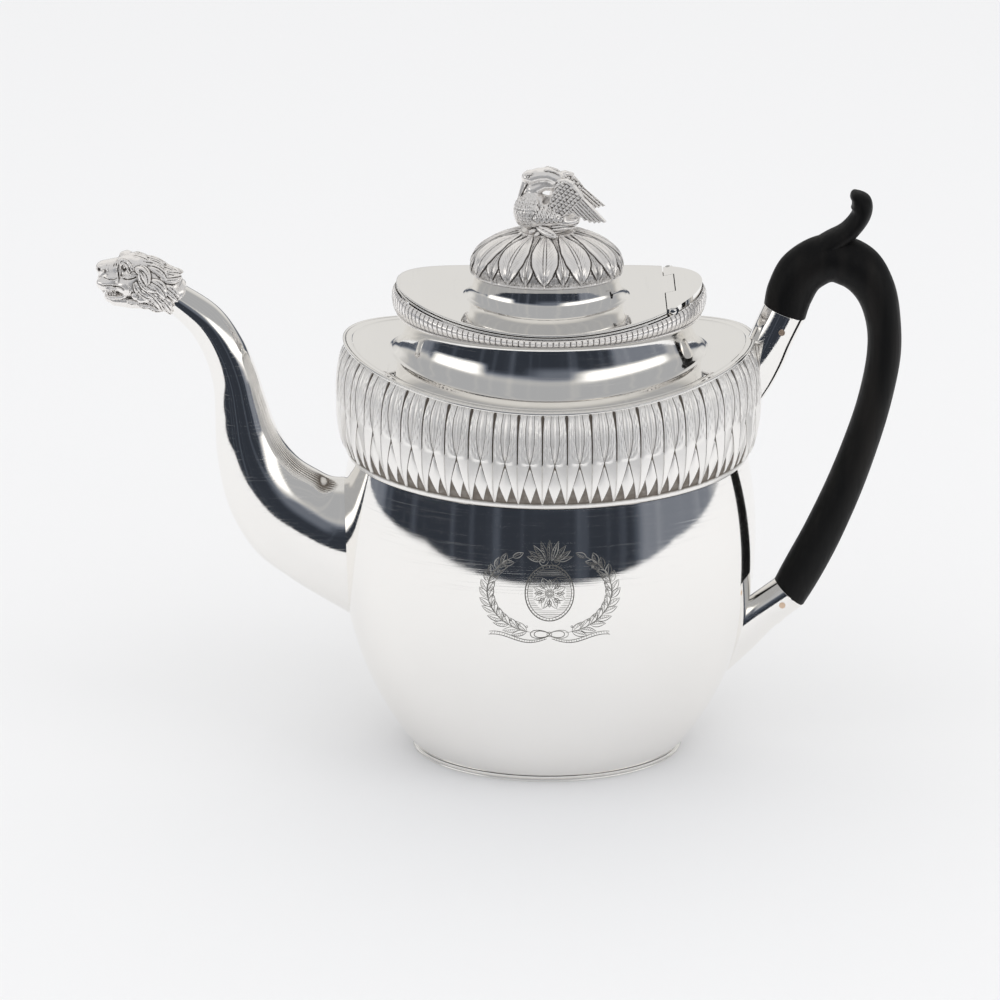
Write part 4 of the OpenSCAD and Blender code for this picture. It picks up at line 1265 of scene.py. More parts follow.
# Palmette above, a fan of nine narrow leaves that rises from two scrolls
for k in range(-4, 5):
    turn = math.pi / 2 + 0.32 * k
    engraved_leaf(np.array([-0.75 * k, 12.6]), turn, 8.4 - 0.16 * k * k, 0.95, 6)
for way in (-1, 1):
    turns = np.linspace(0, 9.5, 40)
    scroll_size = 2.1 * np.exp(-0.2 * turns)
    cut_line(np.stack([
        way * (2.6 - scroll_size * np.cos(turns)), 12.4 - scroll_size * np.sin(turns)], -1), 0.13, 0.5)

corners, faces, tones = [], [], []
for rings, tone in zip(cuts, cut_tones):
    first, count = len(tones), len(rings)
    corners.append(rings.reshape(-1, 3))
    tones += [tone] * (3 * count)
    for i in range(count - 1):
        for j in range(3):
            a, b = first + 3 * i + j, first + 3 * i + (j + 1) % 3
            faces.append((a, b, b + 3, a + 3))
    faces += [(first + 2, first + 1, first), tuple(first + 3 * count - 3 + j for j in range(3))]
emblem = bpy.data.meshes.new("emblem")
emblem.from_pydata((np.concatenate(corners) * mm).tolist(), [], faces)
set_relief(emblem, tones)

# Wraps a flat drawing round the front of an egg: X stays, Y becomes height and Z stands out
wrap, asked, given_back = new_group(
    "on_the_belly", "GeometryNodeTree",
    {"Geometry": ("Geometry", None), "Half Length": ("Float", 0.08), "Half Depth": ("Float", 0.056),
     "Half Height": ("Float", 0.11), "Middle": ("Float", 0.088), "Level": ("Float", 0.088),
     "Lift": ("Float", 0.0), "Material": ("Material", None)},
    {"Geometry": ("Geometry", None)},
)
spot = add(wrap, "ShaderNodeSeparateXYZ", {"Vector": result(wrap, "GeometryNodeInputPosition")}).outputs
level = calculate(wrap, "ADD", spot[1], asked.outputs["Level"])
rise = calculate(wrap, "SUBTRACT", level, asked.outputs["Middle"])
rise = calculate(wrap, "DIVIDE", rise, asked.outputs["Half Height"])
across = calculate(wrap, "DIVIDE", spot[0], asked.outputs["Half Length"])
squares = [calculate(wrap, "MULTIPLY", part, part) for part in (rise, across)]
left = calculate(wrap, "SUBTRACT", 1.0, calculate(wrap, "ADD", *squares))
front = calculate(wrap, "MULTIPLY", calculate(wrap, "SQRT", left), asked.outputs["Half Depth"])
front = calculate(wrap, "ADD", front, calculate(wrap, "ADD", spot[2], asked.outputs["Lift"]))
front = calculate(wrap, "MULTIPLY", front, -1.0)
place = result(wrap, "ShaderNodeCombineXYZ", {"X": spot[0], "Y": front, "Z": level})
laid = {"Geometry": asked.outputs["Geometry"], "Position": place}
laid = result(wrap, "GeometryNodeSetPosition", laid)
laid = result(wrap, "GeometryNodeRealizeInstances", {"Geometry": laid})
give_back(wrap, laid, asked, given_back)
engraving = through_tree("engraving", emblem, wrap, {
    "Half Length": body_half * mm, "Half Depth": body_half * oval * mm, "Half Height": belly_rise * mm,
    "Middle": belly_z * mm, "Level": emblem_z * mm, "Lift": cut_lift * mm, "Material": engraved,
})
finish(engraving, "pot", "chased_silver", engraved)

# ---- Shoulder flange and its wire ------------------------------------------------------
# A flat plate bent to a shallow boat shape and soldered on the leaf band. A drawn round wire
# finishes its edge, with a fine scored line just inside it.
neck_half = 61
flange_lap = 2.2
score_in, score_wide, score_deep = 2.2, 0.22, 0.07
flange_in = neck_half - flange_lap - flange_half
flange_outline = [(flange_in, -flange_t), (flange_in, 0), (-12, 0), (-9, 0), (-6, 0), (-4, 0)]
flange_outline += [
    (-score_in - score_wide, 0), (-score_in - score_wide * 0.6, -score_deep * 0.3),
    (-score_in, score_deep), (-score_in + score_wide * 0.6, -score_deep * 0.3), (-score_in + score_wide, 0),
]
flange_outline += [(-1, 0), (-0.15, 0), (0, -0.1), (0, -flange_t + 0.1), (-0.15, -flange_t), (-6, -flange_t)]


def flange_level(x, rise):
    """Height over x of the flange's top, and more."""
    return arc_height(flange_z, flange_arc, x) + rise


shoulder_flange = closed_mesh(
    "shoulder_flange", oval_rings(flange_outline, flange_half, 320, flange_level)
)
finish(shoulder_flange, "pot", "polished_silver", polished, "shoulder_flange")

wire_r = 0.7
wire_outline = [
    (wire_r + wire_r * math.cos(turn), wire_r * math.sin(turn) - flange_t / 2) for turn in angles(16)
]
flange_wire = closed_mesh("flange_wire", oval_rings(wire_outline, flange_half, 320, flange_level))
finish(flange_wire, "pot", "polished_silver", polished, "flange_wire")

# ---- Neck ------------------------------------------------------------------------------
# A hollow-curved gallery of sheet silver between the flange and the mouth.
neck_z = 180.1
throat_half = 54.4
neck_curve = np.array([
    # share of the height, share of the way from the throat's size to the foot's
    (0, 1), (0.035, 0.87), (0.07, 0.78), (0.2, 0.5), (0.4, 0.24), (0.62, 0.07), (0.84, 0),
    (0.95, 0.05), (1, 0.22),
])


def neck_wall(thinner, steps):
    """Rings up the neck, its half length and depth each made smaller by the sheet's thickness."""
    turn = angles(320)
    rings = []
    for share, out in smooth_path(neck_curve, np.linspace(0, len(neck_curve) - 1, steps)):
        half = throat_half + (neck_half - throat_half) * out
        x, y = (half - thinner) * np.cos(turn), (half * oval - thinner) * np.sin(turn)
        low = arc_height(flange_z, flange_arc, x)
        rings.append(np.stack([x, y, low * (1 - share) + neck_z * share], -1))
    return rings


neck_gallery = closed_mesh("neck_gallery", neck_wall(0, 60) + neck_wall(wall, 24)[::-1])
finish(neck_gallery, "pot", "polished_silver", polished, "neck_gallery")

# ---- Mouth -----------------------------------------------------------------------------
# A cast gadrooned moulding, like a row of small upright lobes over a plain wire, stands under
# the rim. It is low at the sides and tall at both ends. A flat rim lies on it under the lid.
gadroon_half = 59.9
gadroons = 147
lid_half = 58.1
lid_z = 185.6
lid_dip = 7.8
lid_t = 1.0
seat_gap = 0.3
solder_gap = 0.04
mouth_half = 50
lid_arc = lid_half ** 2 / (2 * lid_dip)
rim_low = lid_z - lid_t - seat_gap
gadroon_outline = [
    # share of the height, how far it stands out from its fullest
    (0.0, -3.0), (0.03, -2.2), (0.07, -1.7), (0.11, -1.7), (0.14, -1.95), (0.18, -1.3), (0.26, -0.75),
    (0.4, -0.3), (0.55, -0.05), (0.68, 0.0), (0.8, -0.12), (0.88, -0.35), (0.95, -0.7), (1.0, -1.2),
]


def gadroon_level(x, share):
    """Height over x between the neck's top and the mouth's rim."""
    high = arc_height(rim_low - lid_t - solder_gap, lid_arc + seat_gap + 2 * lid_t + solder_gap, x)
    return neck_z * (1 - share) + high * share


gadroon_carrier = carrier(
    "gadroon_carrier",
    [(share, gadroon_half + out, gadroon_half * oval + out, share) for share, out in gadroon_outline],
    gadroon_level, 1176,
)


def gadroon_tile():
    """Front of one lobe and the plain wire under it."""
    lobe_from, lobe_to = 0.15, 0.99
    heights = [0, 0.03, 0.07, 0.11, 0.15, 0.18, 0.22, 0.3, 0.45, 0.62, 0.78, 0.9, 0.96, 1.0]
    across = [0, 0.06, 0.15, 0.27, 0.5, 0.73, 0.85, 0.94, 1]
    round_over = [0, 0.45, 0.85, 0.8, 1, 0.8, 0.85, 0.45, 0]
    front, tones = [], []
    for height in heights:
        line, tone = [], []
        along = (height - lobe_from) / (lobe_to - lobe_from)
        swell = math.sin(math.pi * along) ** 0.2 if 0 < along < 1 else 0
        for x, over in zip(across, round_over):
            sunk = 0.62 * (1 - over * swell) if 0 < along < 1 else (0.5 if height == lobe_from else 0)
            line.append((x, height, -sunk))
            tone.append(1 - 0.9 * min(sunk / 0.6, 1))
        front.append(line)
        tones.append(tone)
    return np.array(front, float), np.array(tones, float)


lobe_front, lobe_tone = gadroon_tile()
gadroon_row = tile_mesh("gadroon_tile", lobe_front, lobe_tone, 3.2, 4)
gadroon_rim = through_tree(
    "gadroon_rim", gadroon_row, row_tree, {"Carrier": gadroon_carrier, "Count": gadroons, "Material": chased}
)
bpy.data.objects.remove(gadroon_carrier)
finish(clean_row(gadroon_rim, 40), "pot", "chased_silver", chased, "gadroon_rim")

# ---- Rim of the mouth ------------------------------------------------------------------
# A flat ring of sheet silver that the lid closes on, soldered over the gadroons and stopped at
# the hinge.
hinge_x, hinge_z = 46.1, 189.468
barrel_r = 2.1
turn_gap = 0.35
knuckle_from, knuckle_to = -5.25, 14.25
edge_r = 0.48
edge_turns = np.radians(np.linspace(90, -90, 9))


def combine(piece, operation, *others, sharp=30):
    """Cut closed shapes out of a piece, or join them to it."""
    for other in others:
        modifier = piece.modifiers.new("combine", "BOOLEAN")
        modifier.operation = operation
        modifier.object = other
        modifier.solver = "MANIFOLD"
    seen = piece.evaluated_get(bpy.context.evaluated_depsgraph_get())
    mesh = bpy.data.meshes.new_from_object(seen)
    mesh.name = piece.name
    piece.modifiers.clear()
    piece.data = mesh
    for other in others:
        bpy.data.objects.remove(other)
    soften(mesh, sharp)


def hinge_bar(radius, y_from, y_to):
    """Round bar along the hinge, to cut with."""
    turn = angles(48)
    ring = np.stack([hinge_x + radius * np.cos(turn), np.zeros(48), hinge_z + radius * np.sin(turn)], -1)
    return closed_mesh("bar", [ring + (0, y_from, 0), ring + (0, y_to, 0)], loop=False)


def beyond(x):
    """Block past a place along the pot, to cut with."""
    corners = np.array([(x, -60, 150), (x, 60, 150), (x, 60, 220), (x, -60, 220)], float)
    return closed_mesh("block", [corners, corners + (40, 0, 0)], loop=False)


def plate_edge(low):
    """Points (out, up) of a plate's rounded edge, from its top to its bottom."""
    return [(edge_r * (math.cos(turn) - 1), edge_r * math.sin(turn) + low / 2) for turn in edge_turns]


rim_arc = lid_arc + lid_t + seat_gap
rim_outline = [(mouth_half - lid_half, -lid_t), (mouth_half - lid_half, 0)]
rim_outline += [(out, 0) for out in (-6, -4, -2)] + plate_edge(-lid_t)
rim_outline += [(out, -lid_t) for out in (-2, -4, -6)]
mouth_rim = closed_mesh(
    "mouth_rim", oval_rings(rim_outline, lid_half, 320, lambda x, up: arc_height(rim_low, rim_arc, x) + up)
)
combine(mouth_rim, "DIFFERENCE", hinge_bar(barrel_r + turn_gap, -60, 60), beyond(hinge_x))
finish(mouth_rim, "pot", "polished_silver", polished, "mouth_rim")

# ---- Hinge -----------------------------------------------------------------------------
# A flush hinge: three barrels with their tops level with the plate, on one long pin. The outer
# barrels and the plate beyond them belong to the pot, the middle barrel to the lid.


def coat_kept(material, *names):
    """Give a material to CAD pieces that stay as they are."""
    for name in names:
        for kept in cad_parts[name].material_slots:
            kept.material = material


coat_kept(polished, "hinge_plate", "hinge_knuckles", "lid_knuckle", "lid_bezel")
# The pin's ends are hammered over into small round heads
pin_r, pin_half = 0.7, 24.5
pin_profile = [(-pin_half, pin_r), (0, pin_r), (pin_half, pin_r)]
head = [
    (pin_half + out, r) for out, r in ((0.02, 1.5), (0.2, 1.45), (0.45, 1.15), (0.6, 0.7), (0.66, 0.25))
]
pin_profile = [(-y, r) for y, r in head[::-1]] + pin_profile + head
turn = angles(40)
pin_rings = []
for y, r in pin_profile:
    x, z = hinge_x + r * np.cos(turn), hinge_z + r * np.sin(turn)
    pin_rings.append(np.stack([x, np.full(len(turn), y), z], -1))
hinge_pin = closed_mesh("hinge_pin", pin_rings, loop=False, sharp=40)
finish(hinge_pin, "pot", "polished_silver", polished, "hinge_pin")

# ---- Lid -------------------------------------------------------------------------------
# A flat plate bent to the mouth's shallow boat shape. It carries a hollow-sided step, on which
# the leaf dome stands.
dome_x = -1
step_half = 31.7
step_z = 196.0
hole_half = step_half - 2.5


def plate_rings(share, edge, rings=320):
    """Ring of the lid plate: share 0 is the edge of its hole and 1 its outer edge."""
    turn = angles(rings)
    half = hole_half + (lid_half - hole_half) * share
    x = dome_x * (1 - share) + (half + edge[0]) * np.cos(turn)
    y = (half * oval + edge[0]) * np.sin(turn)
    return np.stack([x, y, arc_height(lid_z, lid_arc, x) + edge[1]], -1)


plate_shares = np.linspace(0, 0.96, 14)
lid_plate = closed_mesh(
    "lid_plate",
    [plate_rings(share, (0, 0)) for share in plate_shares]
    + [plate_rings(1, edge) for edge in plate_edge(-lid_t)]
    + [plate_rings(share, (0, -lid_t)) for share in plate_shares[::-1]],
)
combine(
    lid_plate, "DIFFERENCE", beyond(hinge_x), hinge_bar(barrel_r, knuckle_from, knuckle_to),
    hinge_bar(barrel_r + turn_gap, -60, knuckle_from), hinge_bar(barrel_r + turn_gap, knuckle_to, 60),
)
finish(lid_plate, "lid", "polished_silver", polished, "lid_plate")

step_curve = [
    # share of the height, half length
    (0, 31.7), (0.06, 31.05), (0.13, 30.3), (0.3, 29.0), (0.5, 28.15), (0.8, 27.65), (1, 27.8),
]


def step_wall(thinner, steps):
    """Rings up the step, its half length and depth each made smaller by the sheet's thickness."""
    turn = angles(256)
    rings = []
    for share, half in smooth_path(step_curve, np.linspace(0, len(step_curve) - 1, steps)):
        x = dome_x + (half - thinner) * np.cos(turn)
        y = (half * oval - thinner) * np.sin(turn)
        rings.append(np.stack([x, y, arc_height(lid_z, lid_arc, x) * (1 - share) + step_z * share], -1))
    return rings


lid_step = closed_mesh("lid_step", step_wall(0, 44) + step_wall(lid_t, 20)[::-1])
finish(lid_step, "lid", "polished_silver", polished, "lid_step")

# ---- Leaf dome -------------------------------------------------------------------------
# An oval cushion of sheet silver, chased with long pointed leaves, with the tips of a second
# row between them on a stippled ground. Its top is plain round the bird's foot.
dome_leaves = 11
dome_t = 1.0
dome_curve = np.array([
    # half length, height above the step
    (27.8, 0.0), (28.9, 0.7), (29.5, 3.0), (29.0, 6.0), (27.4, 9.2), (24.2, 12.2), (19, 15.1), (13, 16.9),
    (9, 17.6), (4, 17.6), (1.6, 17.6),
])
dome_rows, dome_columns = 78, 65


def dome_tile():
    """Front of one long leaf with half a short one on each side, and how far each place stands out."""
    up = np.linspace(0, 1, dome_rows)[:, None]
    across = np.linspace(0, 1, dome_columns)[None, :]
    grain = np.random.default_rng(5).uniform(-1, 1, (dome_rows, dome_columns))
    grain[:, -1] = grain[:, 0]
    # Across half a leaf, from its midrib to its edge: how deep each place lies, and how bright it is
    section_at = [0, 0.05, 0.11, 0.2, 0.55, 0.86, 0.94, 1.0]
    section_deep = [0, -0.04, -0.36, -0.22, -0.42, -0.14, -0.16, -0.4]
    tint_at = [0, 0.06, 0.11, 0.2, 0.55, 0.86, 0.93, 1.0]
    section_tint = [1, 0.95, 0.1, 0.78, 0.66, 1.0, 0.8, 0.0]
    surface = -0.78 + 0.07 * grain + 0 * up
    tone = np.full(surface.shape, 0.55) + 0.3 * grain
    for away, spread, places, low, lean in (
        (np.minimum(across, 1 - across), [0, 0.14, 0.22, 0.22, 0.17, 0.1],
         [0.05, 0.15, 0.25, 0.4, 0.5, 0.6], -0.12, 26),
        (np.abs(across - 0.5), [0, 0.22, 0.38, 0.45, 0.38, 0.24, 0.02],
         [0.04, 0.16, 0.29, 0.44, 0.6, 0.7, 0.78], 0.0, 22),
    ):
        wide = np.interp(up, places, spread)
        part = away / np.maximum(wide, 1e-6)
        hatch = np.sin(2 * np.pi * (lean * up - 4.5 * part)) * (part > 0.13) * (part < 0.9)
        leaf = np.interp(part, section_at, section_deep) + low + 0.07 * hatch
        shown = part < 1
        surface = np.where(shown, np.maximum(leaf, surface), surface)
        tone = np.where((part < 1 + 0.035 / np.maximum(wide, 0.05)) & (wide > 0.01), 0.0, tone)
        tint = np.interp(part, tint_at, section_tint)
        tone = np.where(shown, np.clip(tint + low + 0.2 * hatch, 0, 1), tone)
    plain = np.clip((up - 0.75) / 0.03, 0, 1) + 0 * across
    surface = surface * (1 - plain) - 0.22 * plain
    tone = tone * (1 - plain) + 0.95 * plain
    groove = np.exp(-((up - 0.79) / 0.01) ** 2)
    surface = surface - 0.14 * groove
    tone = np.clip(tone - 0.6 * groove, 0, 1)
    bead = np.clip((0.035 - up) / 0.015, 0, 1) + 0 * across
    surface = surface * (1 - bead) - 0.08 * bead
    tone = tone * (1 - bead) + 0.9 * bead
    front = np.stack([across + 0 * up, up + 0 * across, surface], -1)
    return front, tone


dome_line = smooth_path(dome_curve, np.linspace(0, len(dome_curve) - 1, 200))
dome_length = np.concatenate([[0], np.cumsum(np.hypot(*np.diff(dome_line, axis=0).T))])
dome_outline = []
for share in np.linspace(0, 1, 90):
    half, rise = (np.interp(share * dome_length[-1], dome_length, dome_line[:, k]) for k in (0, 1))
    dome_outline.append((share, half, half * oval, step_z + rise))
dome_carrier = carrier("dome_carrier", dome_outline, lambda x, rise: np.full(len(x), rise), 480, dome_x)
dome_front, dome_tone = dome_tile()
dome_leaf = tile_mesh("dome_leaf", dome_front, dome_tone, dome_t, 16)
leaf_dome = through_tree(
    "leaf_dome", dome_leaf, row_tree, {"Carrier": dome_carrier, "Count": dome_leaves, "Material": chased}
)
bpy.data.objects.remove(dome_carrier)
finish(clean_row(leaf_dome, 30), "lid", "chased_silver", chased, "leaf_dome")

# The bird's screw and its nut inside the dome
coat_kept(polished, "finial_screw", "finial_nut")

# ---- Bird ------------------------------------------------------------------------------
# A solid silver casting of a long-billed bird that bends its neck round to its own breast,
# with raised wings. It stands on the dome and is held by a screw from below.
bird = Casting((-14.6, -12.6, 208.0), (24.0, 12.6, 239.4), 0.22)


def scallops(a, b, pitch, rows):
    """Height of overlapping scale feathers at places in a plane: 0 in the gaps, 1 on the tips."""
    row = np.floor(b / rows)
    across = (a / pitch + 0.5 * (row % 2)) % 1 - 0.5
    up = b / rows - row
    ring = np.sqrt((across * 1.6) ** 2 + (1 - up) ** 2 * 0.9)
    return np.clip(1.15 - ring, 0, 1)


breast = np.array([(-7.0, 0, 220.9), (6.1, 5.6, 6.9)])
flank = np.array([(-1.5, 0, 219.2), (10.6, 6.5, 5.5)])
bird.egg(*flank, soft=0.8)
bird.egg((4.6, 0, 217.6), (7.2, 5.2, 3.3), soft=0.8)
bird.egg(*breast, soft=1.2)
# Scale feathers on the breast and shoulders, each an egg laid over the one below it. They lie
# in rows from one rise to another, and turn round the egg from one angle to another.
downwards = np.array([0.35, 0, -1.0])
for (middle, sizes), rises, turns, step in (
    (breast, (66, -42), (-112, 112), 13.0), (flank, (58, -2), (66, 125), 9.5),
    (flank, (58, -2), (-125, -66), 9.5),
):
    rise, odd = rises[0], 0
    while rise > rises[1]:
        around = turns[0] + (step * 0.5 if odd else 0)
        while around < turns[1]:
            up, out = math.radians(rise), math.radians(around)
            ray = np.array([-math.cos(up) * math.cos(out), math.cos(up) * math.sin(out), math.sin(up)])
            spot = middle + ray * sizes / np.sqrt((ray ** 2).sum())
            outward = ray / sizes
            outward = outward / np.linalg.norm(outward)
            fall = downwards - outward * (downwards @ outward)
            fall = fall / np.linalg.norm(fall) + outward * 0.22
            bird.egg(
                spot + outward * 0.1, (1.2, 0.82, 0.5), turned(fall, outward), soft=0.08, groove=0.16,
                groove_wide=0.12,
            )
            around += step / max(math.cos(up), 0.35)
        rise -= step * 0.86
        odd = not odd
# Long tail feathers, laid flat
for side in (-1, 1):
    for k in range(5):
        bird.egg(
            (5.4 + 0.2 * k, side * (4.7 - 0.25 * k), 215.4 + 1.0 * k), (5.6 - 0.3 * abs(k - 2), 0.75, 0.56),
            turned((1, -0.3 * side, 0.02), (0, side, 0.15)), soft=0.12,
        )
# Neck, head and the long bill laid on the breast
bird.limb([
    (2.6, 220.5, 4.2, 1.1), (4.9, 225.6, 3.3, 1.1), (4.9, 230.2, 3.0, 1.1), (3.0, 233.6, 2.9, 1.1),
    (-0.6, 235.2, 2.9, 1.05), (-4.2, 235.0, 2.8, 1.0), (-6.6, 234.2, 2.8, 0.95),
], soft=0.8)
bird.limb([(-6.2, 229.6, 2.7, 0.95), (-2.2, 231.6, 2.6, 0.95), (2.6, 231.4, 2.4, 1.0)], soft=1.2)
bird.limb([(-6.5, 226.0, 3.4, 1.0), (-3.2, 224.0, 3.4, 1.1), (2.6, 223.4, 3.4, 1.1)], soft=1.2)
bird.egg((-7.6, 0, 234.3), (3.0, 2.5, 2.5), soft=0.6)
for side in (-1, 1):
    bird.egg((-8.2, side * 2.35, 235.1), (0.8, 0.5, 0.6), soft=0.15, cut=True)
    bird.egg((-8.2, side * 2.15, 235.1), (0.45, 0.4, 0.38), soft=0.05)
    bird.egg((-7.8, side * 2.3, 236.1), (1.3, 0.4, 0.3), turned((1, 0, 0.2), (0, side, 0.6)), soft=0.12)
bird.limb([(-9.0, 233.4, 1.25, 1.25), (-10.2, 230.2, 0.95, 1.25), (-11.5, 226.4, 0.55, 1.3)], soft=0.35)
bird.limb([(-7.4, 231.6, 0.95, 1.3), (-8.9, 229.0, 0.8, 1.3), (-10.6, 225.8, 0.5, 1.3)], soft=0.2)
for side in (-1, 1):
    gape = turned((-0.38, 0, -1), (0, side, 0))
    bird.egg((-9.6, side * 1.35, 230.2), (3.6, 0.32, 0.16), gape, soft=0.08, cut=True)
# Opening under the bent neck
for side in (-1, 1):
    sloping = ((0.70, 0, 0.71), (0, 1, 0), (-0.71, 0, 0.70))
    bird.egg((-0.1, side * 4.4, 227.5), (3.7, 3.8, 1.75), sloping, soft=0.3, cut=True)
# Short feathers down the neck
for share in np.arange(26) / 25:
    x = np.interp(share, [0, 0.35, 0.6, 0.85, 1], [4.2, 7.6, 6.4, 2.6, -0.8])
    z = np.interp(share, [0, 0.35, 0.6, 0.85, 1], [224.0, 229.2, 234.2, 237.2, 238.0])
    for side in (-1, 0, 1):
        outward = np.array([x - 1.6, side * 2.2, z - 230.0])
        bird.egg(
            (x - 0.25 * abs(side), side * 2.1, z - 0.3 * abs(side)), (0.9, 0.34, 0.26),
            turned((z - 230.0 + 0.01, 0.0, 1.6 - x), outward), soft=0.1,
        )
# Wings: raised blades that meet the neck, with scale feathers above and six long ones below
wing_spread = math.radians(18)
wing_foot = 3.2
wing_shape = [
    (-0.5, 221.5), (0.8, 228.0), (2.6, 232.8), (4.4, 234.7), (6.6, 235.2), (9.0, 233.9), (11.4, 231.2),
    (13.8, 227.9), (18.2, 223.8), (22.3, 219.9), (21.3, 219.5), (20.6, 220.0), (19.5, 219.1), (18.9, 219.7),
    (17.7, 218.8), (17.0, 219.6), (15.8, 218.9), (15.1, 220.0), (13.8, 219.6), (13.0, 220.8), (11.6, 220.8),
    (9.8, 222.4), (5.5, 220.5), (2.0, 219.5),
]


def wing_feathers(a, b):
    """How much lower the wing's face is: scales over the shoulder, long feathers below."""
    level = 0.69 * a + 0.72 * b
    run = 0.72 * a - 0.69 * b
    across = ((level - 167.0) / 1.12) % 1
    long_ones = 0.42 * np.clip(1 - np.abs(across - 0.5) / 0.5, 0, 1) ** 1.5
    quill = 0.12 * np.exp(-((across - 0.02) / 0.06) ** 2)
    small_ones = 0.5 * (1 - scallops(level, -run, 1.5, 1.5))
    below = np.clip((run + 148.5) / 0.8, 0, 1)
    front_edge = np.interp(a, [-1, 2.6, 6.6, 11.4, 18.2, 22.3], [228, 232.3, 234.7, 230.8, 223.4, 219.6])
    edge = np.clip(1.0 - np.abs(b - front_edge) / 0.7, 0, 1)
    return (small_ones * (1 - below) + (long_ones + quill) * below) * (1 - edge)


def wing_thick(a, b):
    """Half the wing's thickness, less towards its tip."""
    return np.interp(a, [0, 4, 10, 16, 22], [1.5, 1.35, 1.15, 0.9, 0.6]).astype(np.float32)


for side in (-1, 1):
    along = (math.cos(wing_spread), side * math.sin(wing_spread), 0)
    bird.slab(
        wing_shape, 0.0, wing_thick, soft=0.25, relief=wing_feathers,
        frame_at=((0, side * wing_foot, 0), along, (0, 0, 1)),
    )
    shoulder = turned((1, 0.33 * side, -0.05), (0, 0, 1))
    bird.egg((6.0, side * 4.9, 234.0), (3.4, 1.3, 1.0), shoulder, soft=0.3, bend=0.05)
    hollow = turned((1, 0.2 * side, 0.1), (0, 0, 1))
    bird.egg((8.2, side * 3.2, 221.4), (3.6, 2.2, 1.5), hollow, soft=0.5, cut=True)
    # Feathered feet
    foot = turned((1, 0.55 * side, -0.42), (-0.2, side, 0.7))
    bird.egg((-1.2, side * 6.9, 214.9), (4.6, 1.7, 1.0), foot, soft=0.25, groove=0.3, groove_wide=0.2)
    for k in range(5):
        for beside in (-0.75, 0.75):
            bird.egg(
                (-3.6 + 1.25 * k + 0.3 * beside, side * (5.9 + 0.62 * k) + beside * 0.55, 216.3 - 0.52 * k),
                (0.7, 0.12, 0.5), turned((0.8, side * (0.3 + beside * 0.8), -0.3), (-0.2, side, 0.7)),
                soft=0.1, cut=True,
            )
    bird.egg((-6.2, side * 4.6, 214.5), (1.9, 1.0, 0.9), turned((-1, 0.5 * side, -0.3), (0, 0, 1)), soft=0.2)
    claw = turned((-0.7, 0.8 * side, -0.3), (0, 0, 1))
    bird.egg((-4.6, side * 6.4, 213.9), (1.7, 0.8, 0.7), claw, soft=0.2)
# Rough rock that it stands on, cut to sit on the dome, with the hole for its screw
bird.egg((-1.0, 0, 213.8), (7.6, 5.6, 1.7), soft=0.5)
for k in range(20):
    turn = 2.399 * k
    reach_out = 0.55 + 0.45 * ((k * 7) % 10) / 10
    lump = (-1 + 7.0 * reach_out * math.cos(turn), 5.2 * reach_out * math.sin(turn), 214.3)
    bird.egg(lump, (1.1, 0.8, 0.8), soft=0.3)
x, y, z = np.meshgrid(*bird.lines, indexing="ij")
dome_top = np.interp(np.hypot(x - dome_x, y / oval), [0, 9, 13, 19, 24], [17.6, 17.6, 16.9, 15.1, 12.2])
under = dome_top + step_z + 0.02 - z
screw_hole_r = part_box("finial_screw")[1].x / mm - dome_x + 0.05
screw_hole = np.minimum(screw_hole_r - np.hypot(x - dome_x, y), 214.25 - z)
bird.field = np.maximum(bird.field, np.maximum(under, screw_hole)).astype(np.float32)
bird_finial = bird.mesh("bird_finial")
finish(bird_finial, "lid", "chased_silver", chased, "bird_finial")

# ---- Sockets ---------------------------------------------------------------------------
# Hollow tapering sleeves of sheet silver. The upper one is soldered on the leaf band and under
# the flange, the lower one on the body. Each takes a tenon of the handle.
socket_wall = 1.1
tenon_len = 12
upper_socket_path = np.array([
    # x, z, half height, half width, heading in degrees
    (77.6, 143, 3, 2.6, 90), (79.2, 151, 6.4, 4.6, 88), (81.4, 160, 8.4, 6, 84), (85, 170, 8.4, 6.9, 74),
    (89.8, 181.2, 8.5, 7.2, 69),
])
lower_socket_path = np.array([
    (64, 42, 13, 6, 34), (75, 48.5, 9.5, 6, 38), (84, 56.5, 8, 6.3, 42), (94.4, 64.9, 7.7, 6.8, 47),
])


def pointing(station):
    """Direction that a station of a path heads in."""
    heading = math.radians(station[4])
    return np.array([math.cos(heading), 0, math.sin(heading)])


def socket_end(path):
    """Rings over the rounded lip of a socket and down its hole."""
    turn = angles(96)
    station = path[-1]
    ahead = pointing(station)
    rings = []
    for thinner, back in ((0.0, 0.3), (0.08, 0.1), (0.3, 0.0), (0.8, 0.0), (1.05, 0.1), (socket_wall, 0.4)):
        rings.append(tube_points(station, turn, thinner) - ahead * back)
    for back in (4, 8, tenon_len):
        rings.append(tube_points(station, turn, socket_wall) - ahead * back)
    return rings


turn = angles(96)
upper_rings = [
    tube_points(station, turn) for station in smooth_path(upper_socket_path, np.linspace(0, 3.97, 50))
]
upper_socket = closed_mesh("upper_socket", upper_rings + socket_end(upper_socket_path), loop=False)
seat = 0.9
band_block = []
for share in np.linspace(0, 1, 33):
    half = band_half - seat + band_bulge * (1 - abs(2 * share - 1) ** 3)
    block_turn = angles(240)
    x, y = half * np.cos(block_turn), half * oval * np.sin(block_turn)
    band_block.append(np.stack([x, y, band_level(x, share)], -1))
flange_block = oval_rings([(wire_r, -flange_t), (wire_r, 0)], flange_half, 240, flange_level)
combine(
    upper_socket, "DIFFERENCE", closed_mesh("band_block", band_block, loop=False),
    closed_mesh("flange_block", flange_block, loop=False),
)
finish(upper_socket, "pot", "polished_silver", polished, "upper_socket")

